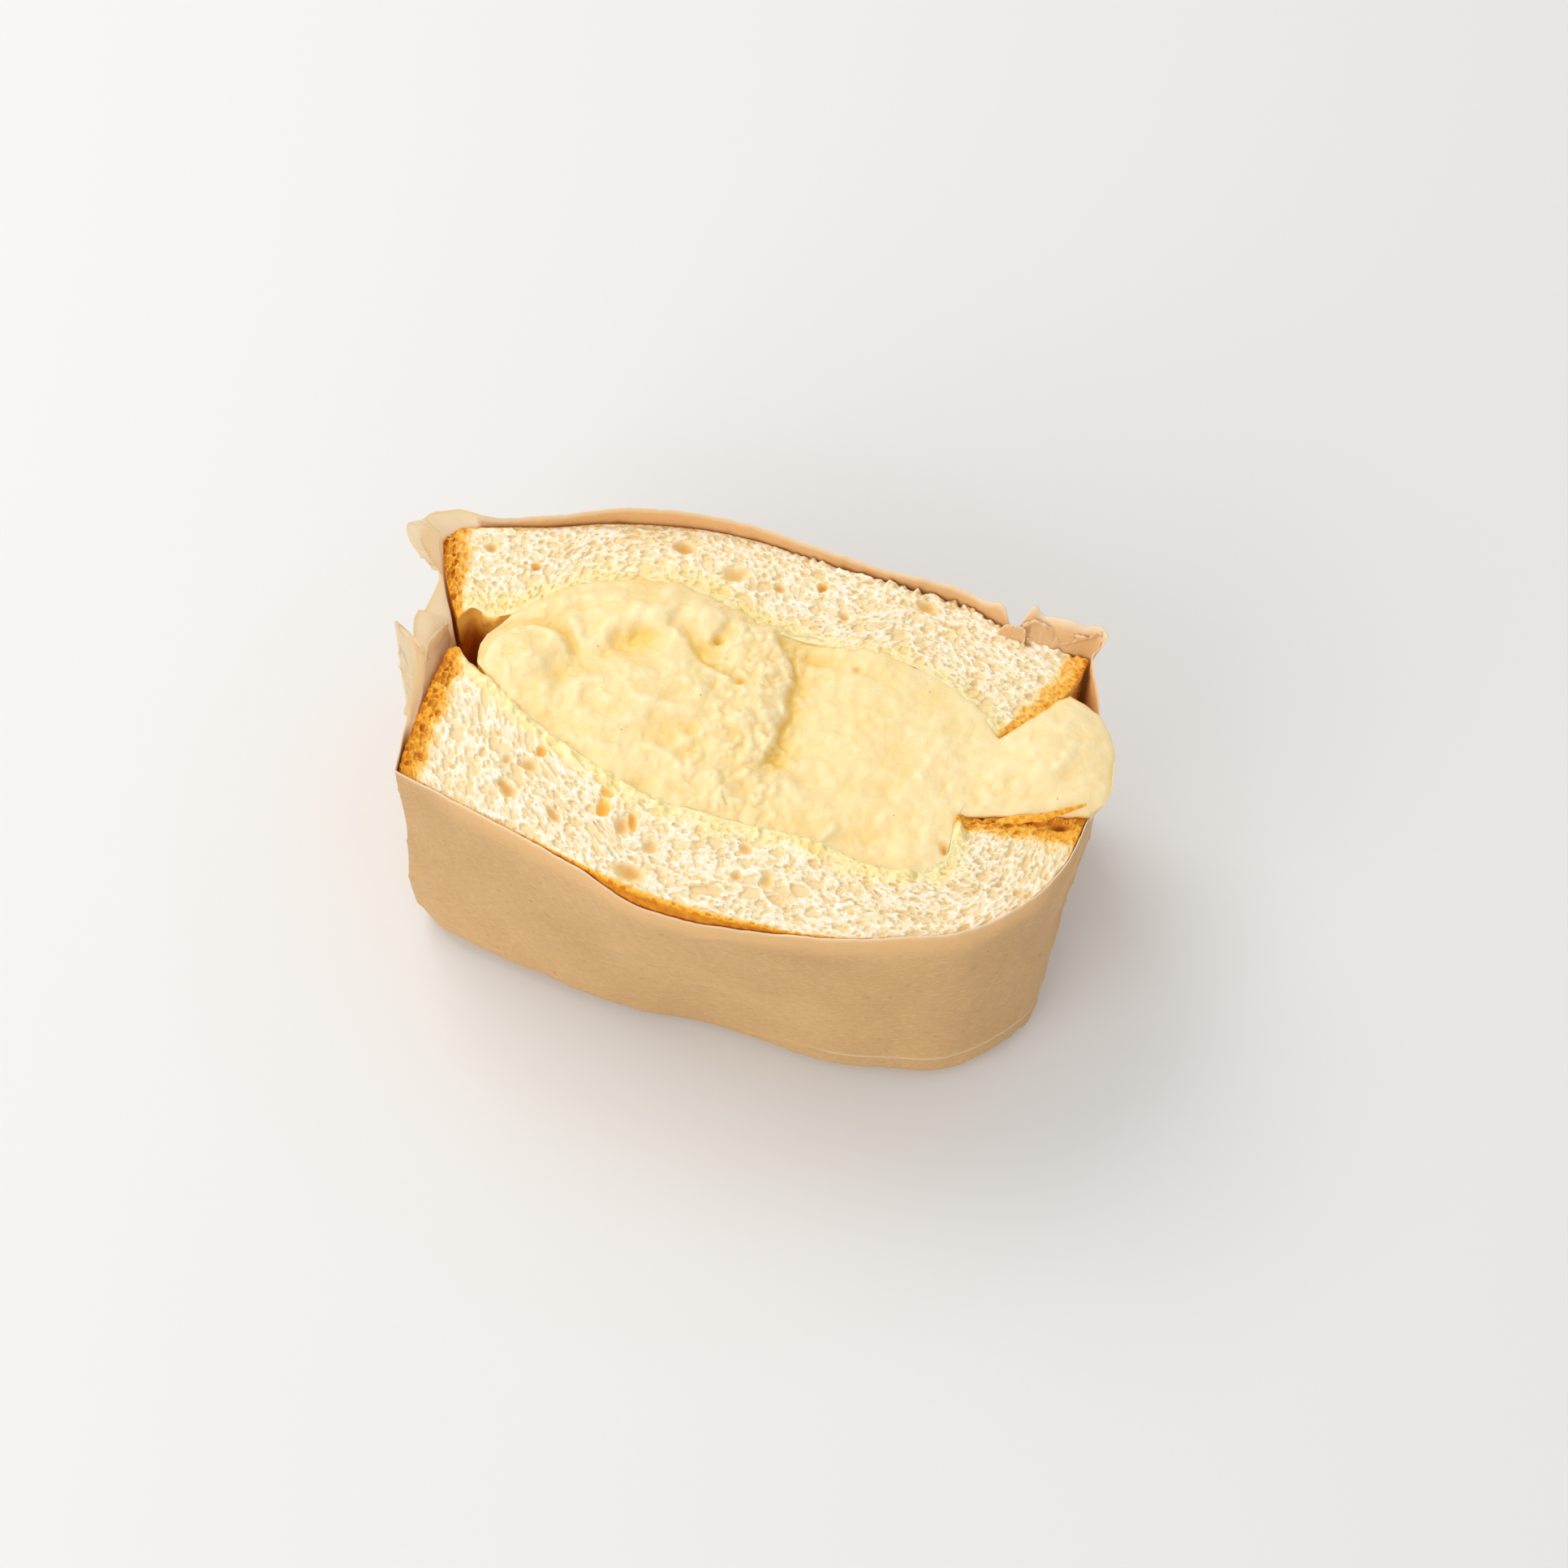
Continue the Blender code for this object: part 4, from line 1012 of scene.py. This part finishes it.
paper = {
    "around": 700,
    "outerRows": 84,
    "innerRows": 40,
    "stand": 0.45,  # the outer face stands this far off the bread, less than the solid's
    "skin": 0.2,
    "rimBend": 53.5,
    "rightSide": ((63.2, -4.0), (63.4, 3.0), (62.9, 10.0), (60.9, 16.8), (59.4, 21.0), (58.8, 24.0)),
    "leftSide": (
        (-67.9, 28.6), (-66.6, 24.5), (-65.0, 20.5), (-63.6, 17.5), (-62.3, 14.5), (-62.2, 11.0),
        (-62.2, 7.5), (-62.6, 3.0), (-63.5, -2.0), (-64.4, -7.0), (-64.9, -13.0),
    ),
    "rim": (  # plan place, height, and how far its rim bends outward
        (-64.2, -21.5, 56.2, 0.0), (-51.6, -25.6, 56.3, 0.0), (-38.0, -30.2, 55.8, 0.0),
        (-31.0, -33.0, 55.4, 0.0), (-25.6, -35.2, 54.9, 0.0), (-16.9, -38.0, 51.9, 0.0),
        (-8.9, -40.3, 52.0, 0.0), (-1.0, -41.0, 52.9, 0.0), (6.7, -41.3, 54.4, 0.0),
        (18.4, -41.3, 56.0, 0.0), (30.0, -39.1, 56.1, 0.0), (45.0, -35.0, 56.6, 0.0),
        (56.0, -25.0, 56.6, 0.0), (61.5, -15.0, 56.2, 0.0), (63.0, -8.0, 54.8, 0.0),
        (63.5, -5.0, 51.0, 0.0), (64.3, 3.0, 48.6, 0.0), (63.4, 11.0, 49.5, 0.0),
        (61.0, 16.8, 57.2, 0.1), (60.2, 19.4, 58.2, 0.1), (59.4, 22.4, 58.9, 0.1),
        (59.0, 25.0, 59.6, 0.2), (58.8, 26.2, 61.0, 3.4), (56.6, 26.6, 60.4, 3.4),
        (54.0, 27.0, 60.8, 3.6), (50.6, 27.6, 60.0, 3.6), (47.6, 28.2, 59.6, 3.4), (45.2, 29.0, 60.4, 3.4),
        (44.2, 29.5, 57.0, 0.8), (42.2, 30.4, 57.4, 0.5), (41.0, 31.0, 58.8, 1.2),
        (37.0, 33.0, 58.2, 0.9), (30.0, 35.8, 58.6, 0.8), (24.0, 37.0, 58.2, 0.5),
        (8.0, 40.0, 58.4, 0.3), (-12.0, 43.5, 59.4, 0.2), (-32.0, 42.9, 60.0, 0.0),
        (-50.0, 39.0, 58.0, 0.2), (-61.0, 36.0, 57.6, 0.8), (-66.6, 34.5, 58.6, 2.6),
        (-68.6, 32.0, 59.4, 3.6), (-67.9, 28.6, 59.0, 3.0), (-67.0, 26.0, 57.8, 1.6),
        (-66.3, 23.7, 56.8, 0.5), (-65.6, 21.5, 56.8, 1.0), (-64.6, 19.0, 57.3, 2.4),
        (-63.4, 16.8, 57.9, 3.8), (-62.3, 14.5, 58.4, 5.3), (-62.2, 11.0, 59.0, 5.8),
        (-62.2, 7.8, 59.5, 5.4), (-62.4, 5.0, 59.3, 4.4), (-62.8, 2.0, 58.6, 3.0),
        (-63.6, -2.0, 57.6, 1.8), (-64.2, -6.0, 56.9, 0.8), (-64.7, -11.0, 56.6, 0.1),
        (-64.8, -16.0, 56.4, 0.0),
    ),
    "torn": ((0.22, 3.1, 91.0), (0.12, 1.2, 92.0)),  # of the rim: strength, grain and seed
    "swells": (0.22, 16.0, 81.0),
    "smallSwells": (0.1, 6.0, 82.0),
    "lipFrom": (14.0, 22.0),  # the upper layer stands out over the lower one on the front right
    "lipFront": (0.0, -12.0),
    "lipHeight": (9.2, 9.5),
    "lipOut": 0.5,
    "lipFade": (10.0, 30.0),
    "litThroughOutside": (44.0, 56.0),  # heights between which the left and right ends are painted lighter, as light let through the paper
    "litThroughInside": (25.0, 48.0),
}


# The loop round everything, anticlockwise from the front left corner, evenly spaced
def paperLoop(count):
    run = np.linspace(0, 1, 57)
    front = frontPlan(run, np.zeros_like(run))
    backRun = np.linspace(1, 0, 29)
    back = backPlan(backRun, np.zeros_like(backRun))
    right = np.concatenate([front[-1:], np.array(paper["rightSide"]), back[:1]])
    left = np.concatenate([back[-1:], np.array(paper["leftSide"]), front[:1]])
    loop = np.concatenate([front, right[1:-1], back, left[1:]])
    return evenly(loop, count + 1)[:-1]


# At each point of a loop, the move that takes both its edges out by one, turned smoothly over a few points
def outward(loop):
    edge = np.roll(loop, -2, axis=0) - np.roll(loop, 2, axis=0)
    edge /= np.linalg.norm(edge, axis=1)[:, None]
    return np.stack([edge[:, 1], -edge[:, 0]], axis=1)


def rimAt(loop):
    places = np.array([row[:2] for row in paper["rim"]])
    nearest = np.argmin(np.linalg.norm(loop[None] - places[:, None], axis=2), axis=1)
    order = np.argsort(nearest)
    knots = nearest[order].astype(float)
    values = np.array([row[2:] for row in paper["rim"]])[order]
    around = len(loop)
    knots = np.concatenate([knots[-1:] - around, knots, knots[:1] + around])
    values = np.concatenate([values[-1:], values, values[:1]])
    found = smoothThrough(knots, values, np.arange(around, dtype=float))
    return found[:, 0], np.maximum(found[:, 1], 0.0)


paperLook = {
    "kraft": tone(234, 191, 131),
    "kraftDark": tone(217, 173, 117),
    "kraftLight": tone(243, 215, 170),
    # painted highlight: the pale line laid along the rim, the lip's top edge and the loose sheets' edges
    "rim": tone(255, 238, 206),
    # a warmer, lighter band: painted light on paper in shade, and partly grease on the right end's inside
    "band": tone(255, 208, 142),
    # painted light: the pale colour of loose paper lit from behind
    "paperLitThrough": tone(254, 244, 224),
    "fibre": tone(184, 138, 86),
    "clouds": (28, 5.0, 0.55),  # noises: scale, detail and roughness, then the stretch and the distortion
    "strands": (1400, 3.0, 0.55, (0.45, 1.0, 1.0), 0.5),
    "pale": (1700, 3.0, 0.55, (0.45, 1.0, 1.0), 0.6),
    "flecks": (900, 2.0, 0.5, (0.4, 1.0, 1.0), 0.6),
    "wax": (60, 3.0, 0.5),
    "grain": (900, 3.0, 0.6),
    "weaveBump": (0.25, 0.0002),
    "grainBump": (0.15, 0.0002),
    "roughness": (0.42, 0.6),
    "gloss": 0.35,
    "through": (0.2, 0.7),  # the light let through, where the paper lies on bread and where it is loose
}


def paperMaterial():
    look = paperLook
    material, tree, shader = newMaterial("waxedKraft")
    where = flatPlaces(tree)
    clouds, strands, pale, flecks, wax, grain = (
        noiseOf(tree, *look[key][:3], where, *look[key][3:])
        for key in ("clouds", "strands", "pale", "flecks", "wax", "grain")
    )
    # free marks loose paper: painted lighter, as light let through, besides the translucency mixed in below
    free = fieldOf(tree, "free")
    colour = paint(
        tree, look, look["kraft"], (spread(tree, clouds, 0.35, 0.65), "kraftDark"),
        (spread(tree, strands, 0.45, 0.7, 0.0, 0.55), "kraftDark"),
        (spread(tree, pale, 0.5, 0.74, 0.0, 0.45), "kraftLight"),
        (spread(tree, flecks, 0.66, 0.74, 0.0, 0.5), "fibre"),
        (free, "paperLitThrough"), (fieldOf(tree, "band"), "band"), (fieldOf(tree, "rimLight"), "rim"),
    )
    normal = bumpOf(tree, grain, *look["grainBump"], bumpOf(tree, strands, *look["weaveBump"]))
    setSockets(tree, shader, {
        "Base Color": colour, "Roughness": spread(tree, wax, 0.3, 0.7, *look["roughness"]), "Normal": normal,
        "Specular IOR Level": look["gloss"],
    })
    glow = addNode(tree, "ShaderNodeBsdfTranslucent", {"Color": colour, "Normal": normal})
    passing = spread(tree, free, 0.0, 1.0, *look["through"])
    both = addNode(tree, "ShaderNodeMixShader", {0: passing, 1: shader.outputs[0], 2: glow.outputs[0]})
    output = next(item for item in tree.nodes if item.type == "OUTPUT_MATERIAL")
    tree.links.new(both.outputs[0], output.inputs["Surface"])
    return material


# How far the paper stands off its drawn face, mm: slow swells and thin creases where two noises cross zero
def paperRelief(run, z, x, y):
    swell = layered(run, z * 0.6, paper["swells"]) + layered(run, z, paper["smallSwells"])
    crease = 1.0 - np.abs(softNoise(run + 0.5 * z, z - 0.3 * run, 11.0, 83.0))
    sharp = 1.0 - np.abs(softNoise(run * 0.8 - z * 0.7, z * 0.5 + run * 0.6, 8.0, 84.0))
    atRight = easeStep(50.0, 60.0, x) * easeStep(25.0, 5.0, y)
    soft = 0.22 * easeStep(0.86, 1.0, crease)
    return np.maximum(0.1 + swell, 0.0) + soft + atRight * 0.6 * easeStep(0.84, 1.0, sharp)


# The wrap: the outer face goes up from the foot to the rim and the inner face back down, joined over the rim
def makePaper(material):
    look = paper
    loop = paperLoop(look["around"])
    loopX, loopY = loop.T
    normalX, normalY = outward(loop).T
    height, lean = rimAt(loop)
    run = lengthSoFar(np.concatenate([loop, loop[:1]]))
    run, total = run[:-1], run[-1]
    height = height + layered(run, np.zeros_like(run), *look["torn"])
    lipFoot, lipTop = look["lipHeight"]
    lipRows = np.linspace(lipFoot - 1.0, lipTop + 1.5, 14) / cutHeight
    outerShare = np.sort(np.concatenate([np.linspace(0, 1, look["outerRows"] + 1), lipRows]))
    innerShare = np.linspace(1, 0, look["innerRows"] + 1)
    lipped = easeStep(*look["lipFrom"], loopX) * easeStep(*look["lipFront"], loopY)
    onRight = easeStep(58.0, 60.0, loopX) * (0.25 + 0.5 * easeStep(4.0, 12.0, loopY))
    onSides = easeStep(-61.5, -62.5, loopX) + onRight
    onBack = easeStep(10.0, 20.0, loopY) * easeStep(-60.0, -50.0, loopX)
    grids = []
    fields = {"rimLight": [], "free": [], "band": []}
    for shares, offset, floor, litThroughHeights in (
        (outerShare, look["stand"], 0.0, look["litThroughOutside"]),
        (innerShare, look["stand"] - look["skin"], look["skin"], look["litThroughInside"]),
    ):
        z = floor + (height - floor) * shares[:, None]
        toRim = height - z
        relief = paperRelief(run, z, loopX, loopY)
        relief = relief * easeStep(0.0, 4.0, z) * (1.0 - 0.8 * easeStep(5.0, 0.5, toRim))
        lip = look["lipOut"] * easeStep(lipFoot, lipTop, z) * (1.0 - easeStep(*look["lipFade"], z)) * lipped
        bend = np.clip((z - look["rimBend"]) / np.maximum(height - look["rimBend"], 1.0), 0.0, 1.0) ** 2
        out = offset + lean * bend + relief + lip
        grids.append(np.stack([loopX + normalX * out, loopY + normalY * out, z], axis=-1))
        layerEdge = bell(z - lipTop - 0.25, 0.35) * lipped
        fields["rimLight"].append(np.maximum(np.exp(-toRim / 0.4), 0.55 * layerEdge))
        # Painted light: loose paper on the ends above these heights, and the top near the rim, most at the
        # left, is painted lighter as light let through; the same share also lets real light pass
        loose = onSides * easeStep(*litThroughHeights, z) * easeStep(-16.0, -8.0, loopY)
        top = easeStep(55.5, 58.0, z) * (0.15 + 0.85 * easeStep(-50.0, -62.0, loopX))
        fields["free"].append(np.maximum(loose, top))
        # band warms the paper below the front rim and along the back top; on the right end's inside it is
        # partly grease and partly painted light
        band = 0.75 * easeStep(9.0, 1.0, toRim) * easeStep(-20.0, -28.0, loopY)
        band = band + 0.5 * easeStep(53.0, 57.0, z) * onBack + 0.7 * onRight * easeStep(30.0, 45.0, z)
        fields["band"].append(band)
    grid = np.concatenate(grids)
    fields = {key: np.concatenate(values) for key, values in fields.items()}
    rowCount, around = grid.shape[:2]
    numbers = np.arange(rowCount * around).reshape(rowCount, around)
    quads = gridQuads(np.concatenate([numbers, numbers[:, :1]], axis=1))
    upward = grid[..., 2].ravel()

    def places(corners):
        flat = np.stack([run[corners % around], upward[corners]], axis=1)
        starts = flat[: 4 * len(quads), 0].reshape(-1, 4)
        crossing = np.ptp(starts, axis=1)[:, None] > 0.5 * total
        starts = np.where((starts < 0.5 * total) & crossing, starts + total, starts)
        flat[: 4 * len(quads), 0] = starts.ravel()
        return flat * mm

    caps = [numbers[0, ::-1], numbers[-1]]
    piece = meshPiece("paper_wrapping", grid.reshape(-1, 3), quads, caps, fields, material, places)
    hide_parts("paper_wrap")


# Thin loose layers of the wrap: each runs from its low line to its high line, plan places and heights in mm
looseSheets = {
    "paper_fold_left": {
        "low": ((-64.5, -7.5, 50.5), (-63.6, -1.0, 50.5), (-62.8, 6.0, 50.5), (-62.7, 12.5, 50.5)),
        "high": (
            (-64.6, -6.6, 52.5), (-64.4, -3.0, 54.8), (-64.6, 0.8, 56.4), (-64.9, 3.6, 57.8),
            (-64.8, 6.0, 58.9), (-64.0, 8.4, 58.9), (-63.3, 11.0, 57.8), (-62.9, 12.6, 56.4),
        ),
        "steps": (80, 30), "crumple": 0.25, "free": 0.6, "torn": 0.15, "band": 0.0,
    },
    "paper_flap_left": {
        "low": ((-65.0, 4.4, 57.2), (-64.6, 0.0, 56.0), (-65.0, -4.5, 55.2), (-65.3, -9.0, 54.6)),
        "high": (
            (-65.6, 4.6, 60.0), (-68.6, 6.8, 60.9), (-71.2, 8.0, 61.6), (-70.2, 4.6, 60.7),
            (-68.9, 1.2, 60.0), (-67.5, -2.4, 59.0), (-66.1, -6.1, 57.8), (-65.5, -8.8, 56.6),
        ),
        "steps": (80, 24), "crumple": 0.35, "free": 1.0, "torn": 0.2, "band": 0.0,
    },
    "paper_flap_back": {
        "low": ((-68.8, 32.0, 57.6), (-68.0, 28.4, 57.0), (-67.2, 25.8, 56.4), (-66.7, 23.8, 55.8)),
        "high": (
            (-71.4, 32.6, 60.4), (-73.0, 31.6, 61.0), (-74.2, 30.6, 61.4), (-73.4, 27.4, 60.4),
            (-71.6, 25.6, 59.4), (-69.6, 24.6, 58.2), (-67.9, 23.8, 56.8),
        ),
        "steps": (70, 24), "crumple": 0.3, "free": 1.0, "torn": 0.25, "band": 0.0,
    },
    # The tabs: band paints them warmer and lighter, as light on paper that lies in shade
    "paper_tab_back": {
        "low": ((41.0, 28.6, 55.4), (43.4, 28.1, 55.4), (46.0, 27.2, 55.4)),
        "high": (
            (40.8, 28.8, 56.6), (42.0, 29.2, 58.4), (44.0, 29.2, 58.7), (45.8, 28.9, 58.4),
            (46.1, 27.7, 56.6),
        ),
        "steps": (44, 14), "crumple": 0.15, "free": 0.2, "torn": 0.2, "band": 0.45,
    },
    "paper_tab_right": {
        "low": ((45.4, 28.2, 55.0), (51.0, 26.9, 55.0), (56.0, 27.0, 55.0), (59.4, 26.4, 55.0)),
        "high": (
            (45.2, 30.2, 58.0), (47.6, 31.0, 59.2), (50.4, 30.2, 58.6), (53.0, 29.6, 58.2),
            (56.0, 29.0, 59.0), (58.6, 28.8, 59.8), (60.2, 29.2, 60.6), (59.9, 27.0, 59.2),
        ),
        "steps": (90, 20), "crumple": 0.6, "free": 0.2, "torn": 0.4, "band": 0.45,
    },
}
sheetThick = 0.16  # mm


# A smooth line in space through places, evenly by their distance apart
def lineThrough(places, shares):
    places = np.array(places, dtype=float)
    reached = lengthSoFar(places)
    return smoothThrough(reached / reached[-1], places, shares)


# A closed sheet: a straight run from the low line to the high one, crumpled along its normal, with two faces
def makeSheet(name, sheet, material):
    wide, tall = sheet["steps"]
    along = np.linspace(0, 1, wide + 1)
    up = np.linspace(0, 1, tall + 1)
    low = lineThrough(sheet["low"], along)
    high = lineThrough(sheet["high"], along)
    high[:, 2] += sheet["torn"] * softNoise(along * 60.0, np.zeros_like(along), 1.7, 131.0)
    grid = low[:, None] + (high - low)[:, None] * up[None, :, None]
    length = lengthSoFar(high)[-1]
    height = np.linalg.norm(high - low, axis=1).max()
    run, rise = np.meshgrid(along * length, up * height, indexing="ij")
    normal = np.cross(np.gradient(grid, axis=0), np.gradient(grid, axis=1))
    normal /= np.linalg.norm(normal, axis=2)[..., None]
    fold = 1.0 - np.abs(softNoise(run + 0.6 * rise, rise - 0.4 * run, 3.6, 133.0))
    crumple = sheet["crumple"] * (softNoise(run, rise, 4.5, 132.0) + easeStep(0.7, 1.0, fold)) * up[None, :]
    grid = grid + normal * crumple[..., None]
    points = np.concatenate([(grid + normal * side * sheetThick / 2).reshape(-1, 3) for side in (1, -1)])
    count = run.size
    numbers = np.arange(count).reshape(run.shape)
    border = borderOf(numbers)
    border = np.append(border, border[0])
    edge = gridQuads(np.stack([border + count, border], axis=1))
    quads = np.concatenate([gridQuads(numbers), gridQuads(numbers + count)[:, ::-1], edge])
    toBorder = np.minimum(np.minimum(run, length - run), height - rise)
    fields = {key: np.full(2 * count, sheet[key]) for key in ("free", "band")}
    fields["rimLight"] = np.tile(np.exp(-toBorder / 0.3).ravel(), 2)
    places = np.tile(np.stack([run.ravel(), rise.ravel()], axis=1) * mm, (2, 1))
    piece = meshPiece(name, points, quads, [], fields, material, lambda corners: places[corners])


strand = {  # a strand of crust torn from the front slice's right end, lying on the egg
    "path": (
        (46.0, -11.8, 55.4), (50.0, -11.2, 56.4), (54.5, -10.4, 57.3), (58.4, -8.8, 58.1), (61.8, -7.2, 58.7),
    ),
    "halfWidth": (0.5, 1.0, 0.85, 0.6, 0.25),
    "halfHeight": 0.5,
    "steps": (60, 16),
}


# A tapering strand: flattened rings round a smooth path, with lumps along it, closed by a cap at each end
def makeStrand(material):
    look = strand
    count, around = look["steps"]
    along = np.linspace(0, 1, count + 1)
    path = lineThrough(look["path"], along)
    heading = np.gradient(path, axis=0)
    side = np.stack([-heading[:, 1], heading[:, 0], np.zeros_like(along)], axis=1)
    side /= np.linalg.norm(side, axis=1)[:, None]
    turn = np.arange(around) * 2 * np.pi / around
    wide = np.interp(along, np.linspace(0, 1, len(look["halfWidth"])), look["halfWidth"])
    lumps = 1.0 + 0.25 * softNoise(along[:, None] * 14.0, np.cos(turn) * 1.5, 1.0, 151.0)
    across = wide[:, None] * np.cos(turn) * lumps
    upward = (look["halfHeight"] * wide**0.5)[:, None] * np.sin(turn) * lumps
    points = path[:, None] + side[:, None] * across[..., None] + np.array([0.0, 0.0, 1.0]) * upward[..., None]
    points = points.reshape(-1, 3)
    numbers = np.arange(len(points)).reshape(count + 1, around)
    quads = gridQuads(np.concatenate([numbers, numbers[:, :1]], axis=1))
    levels = {"stain": 0.0, "crust": 1.0, "toast": 0.5, "skin": 0.0, "bare": 0.0}
    fields = {key: np.full(len(points), level) for key, level in levels.items()}
    fields["pore"] = 0.3 + 0.3 * softNoise(points[:, 0], points[:, 1], 0.8, 152.0)
    caps = [numbers[0], numbers[-1, ::-1]]
    places = points[:, :2] * mm
    piece = meshPiece("crust_strand", points, quads, caps, fields, material, lambda corners: places[corners])


room = {
    "cameraPlace": (55.74, -268.74, 508.24),  # mm
    "cameraAim": (10.4, -11.6, 56.0),
    "lens": 65.0,
    "sensor": 36.0,
    "floorHalf": 3.0,  # metres, as are the lamps' places and sizes
    "floorTone": tone(230, 230, 231),
    "floorRoughness": 0.6,
    "skyTone": tone(255, 254, 252),
    "skyStrength": 0.7,
    "lampAim": (0.0, 0.0, 0.03),
    "lamps": {  # place, size, power and colour
        "key": ((-0.55, 0.45, 0.95), 0.7, 4.8, tone(255, 252, 246)),
        "fill": ((-0.6, -0.85, 0.6), 0.9, 5.0, tone(255, 254, 252)),
    },
}


def aimAt(item, place, aim):
    item.location = place
    item.rotation_euler = (Vector(aim) - Vector(place)).to_track_quat("-Z", "Y").to_euler()


def makeRoom():
    look = room
    scene = bpy.context.scene
    scene.view_settings.view_transform = "Standard"
    camera = bpy.data.objects.new("camera", bpy.data.cameras.new("camera"))
    camera.data.lens = look["lens"]
    camera.data.sensor_width = look["sensor"]
    aimAt(camera, [value * mm for value in look["cameraPlace"]], [value * mm for value in look["cameraAim"]])
    scene.collection.objects.link(camera)
    scene.camera = camera
    half = look["floorHalf"]
    mesh = bpy.data.meshes.new("floor")
    corners = [(-half, -half, 0), (half, -half, 0), (half, half, 0), (-half, half, 0)]
    mesh.from_pydata(corners, [], [(0, 1, 2, 3)])
    floor = bpy.data.objects.new("floor", mesh)
    floor.location.z = -0.05 * mm  # a hair below the paper's foot
    material, tree, shader = newMaterial("paleFloor")
    setSockets(tree, shader, {"Base Color": look["floorTone"], "Roughness": look["floorRoughness"]})
    mesh.materials.append(material)
    scene.collection.objects.link(floor)
    for name, (place, size, power, warm) in look["lamps"].items():
        light = bpy.data.lights.new(name, "AREA")
        light.shape = "SQUARE"
        light.size = size
        light.energy = power
        light.color = warm[:3]
        lamp = bpy.data.objects.new(name, light)
        aimAt(lamp, place, look["lampAim"])
        scene.collection.objects.link(lamp)
    world = bpy.data.worlds.new("softSky")
    world.use_nodes = True
    setSockets(world.node_tree, world.node_tree.nodes["Background"], {
        "Color": look["skyTone"], "Strength": look["skyStrength"],
    })
    scene.world = world
    print("room, camera and lights made")


makeRoom()
bread = breadMaterial("breadCrumbAndCrust")
makeSlice(frontSlice, bread)
makeSlice(backSlice, bread)
makeStrand(bread)
makeEgg(eggMaterial())
waxedPaper = paperMaterial()
makePaper(waxedPaper)
for sheetName, sheet in looseSheets.items():
    makeSheet(sheetName, sheet, waxedPaper)
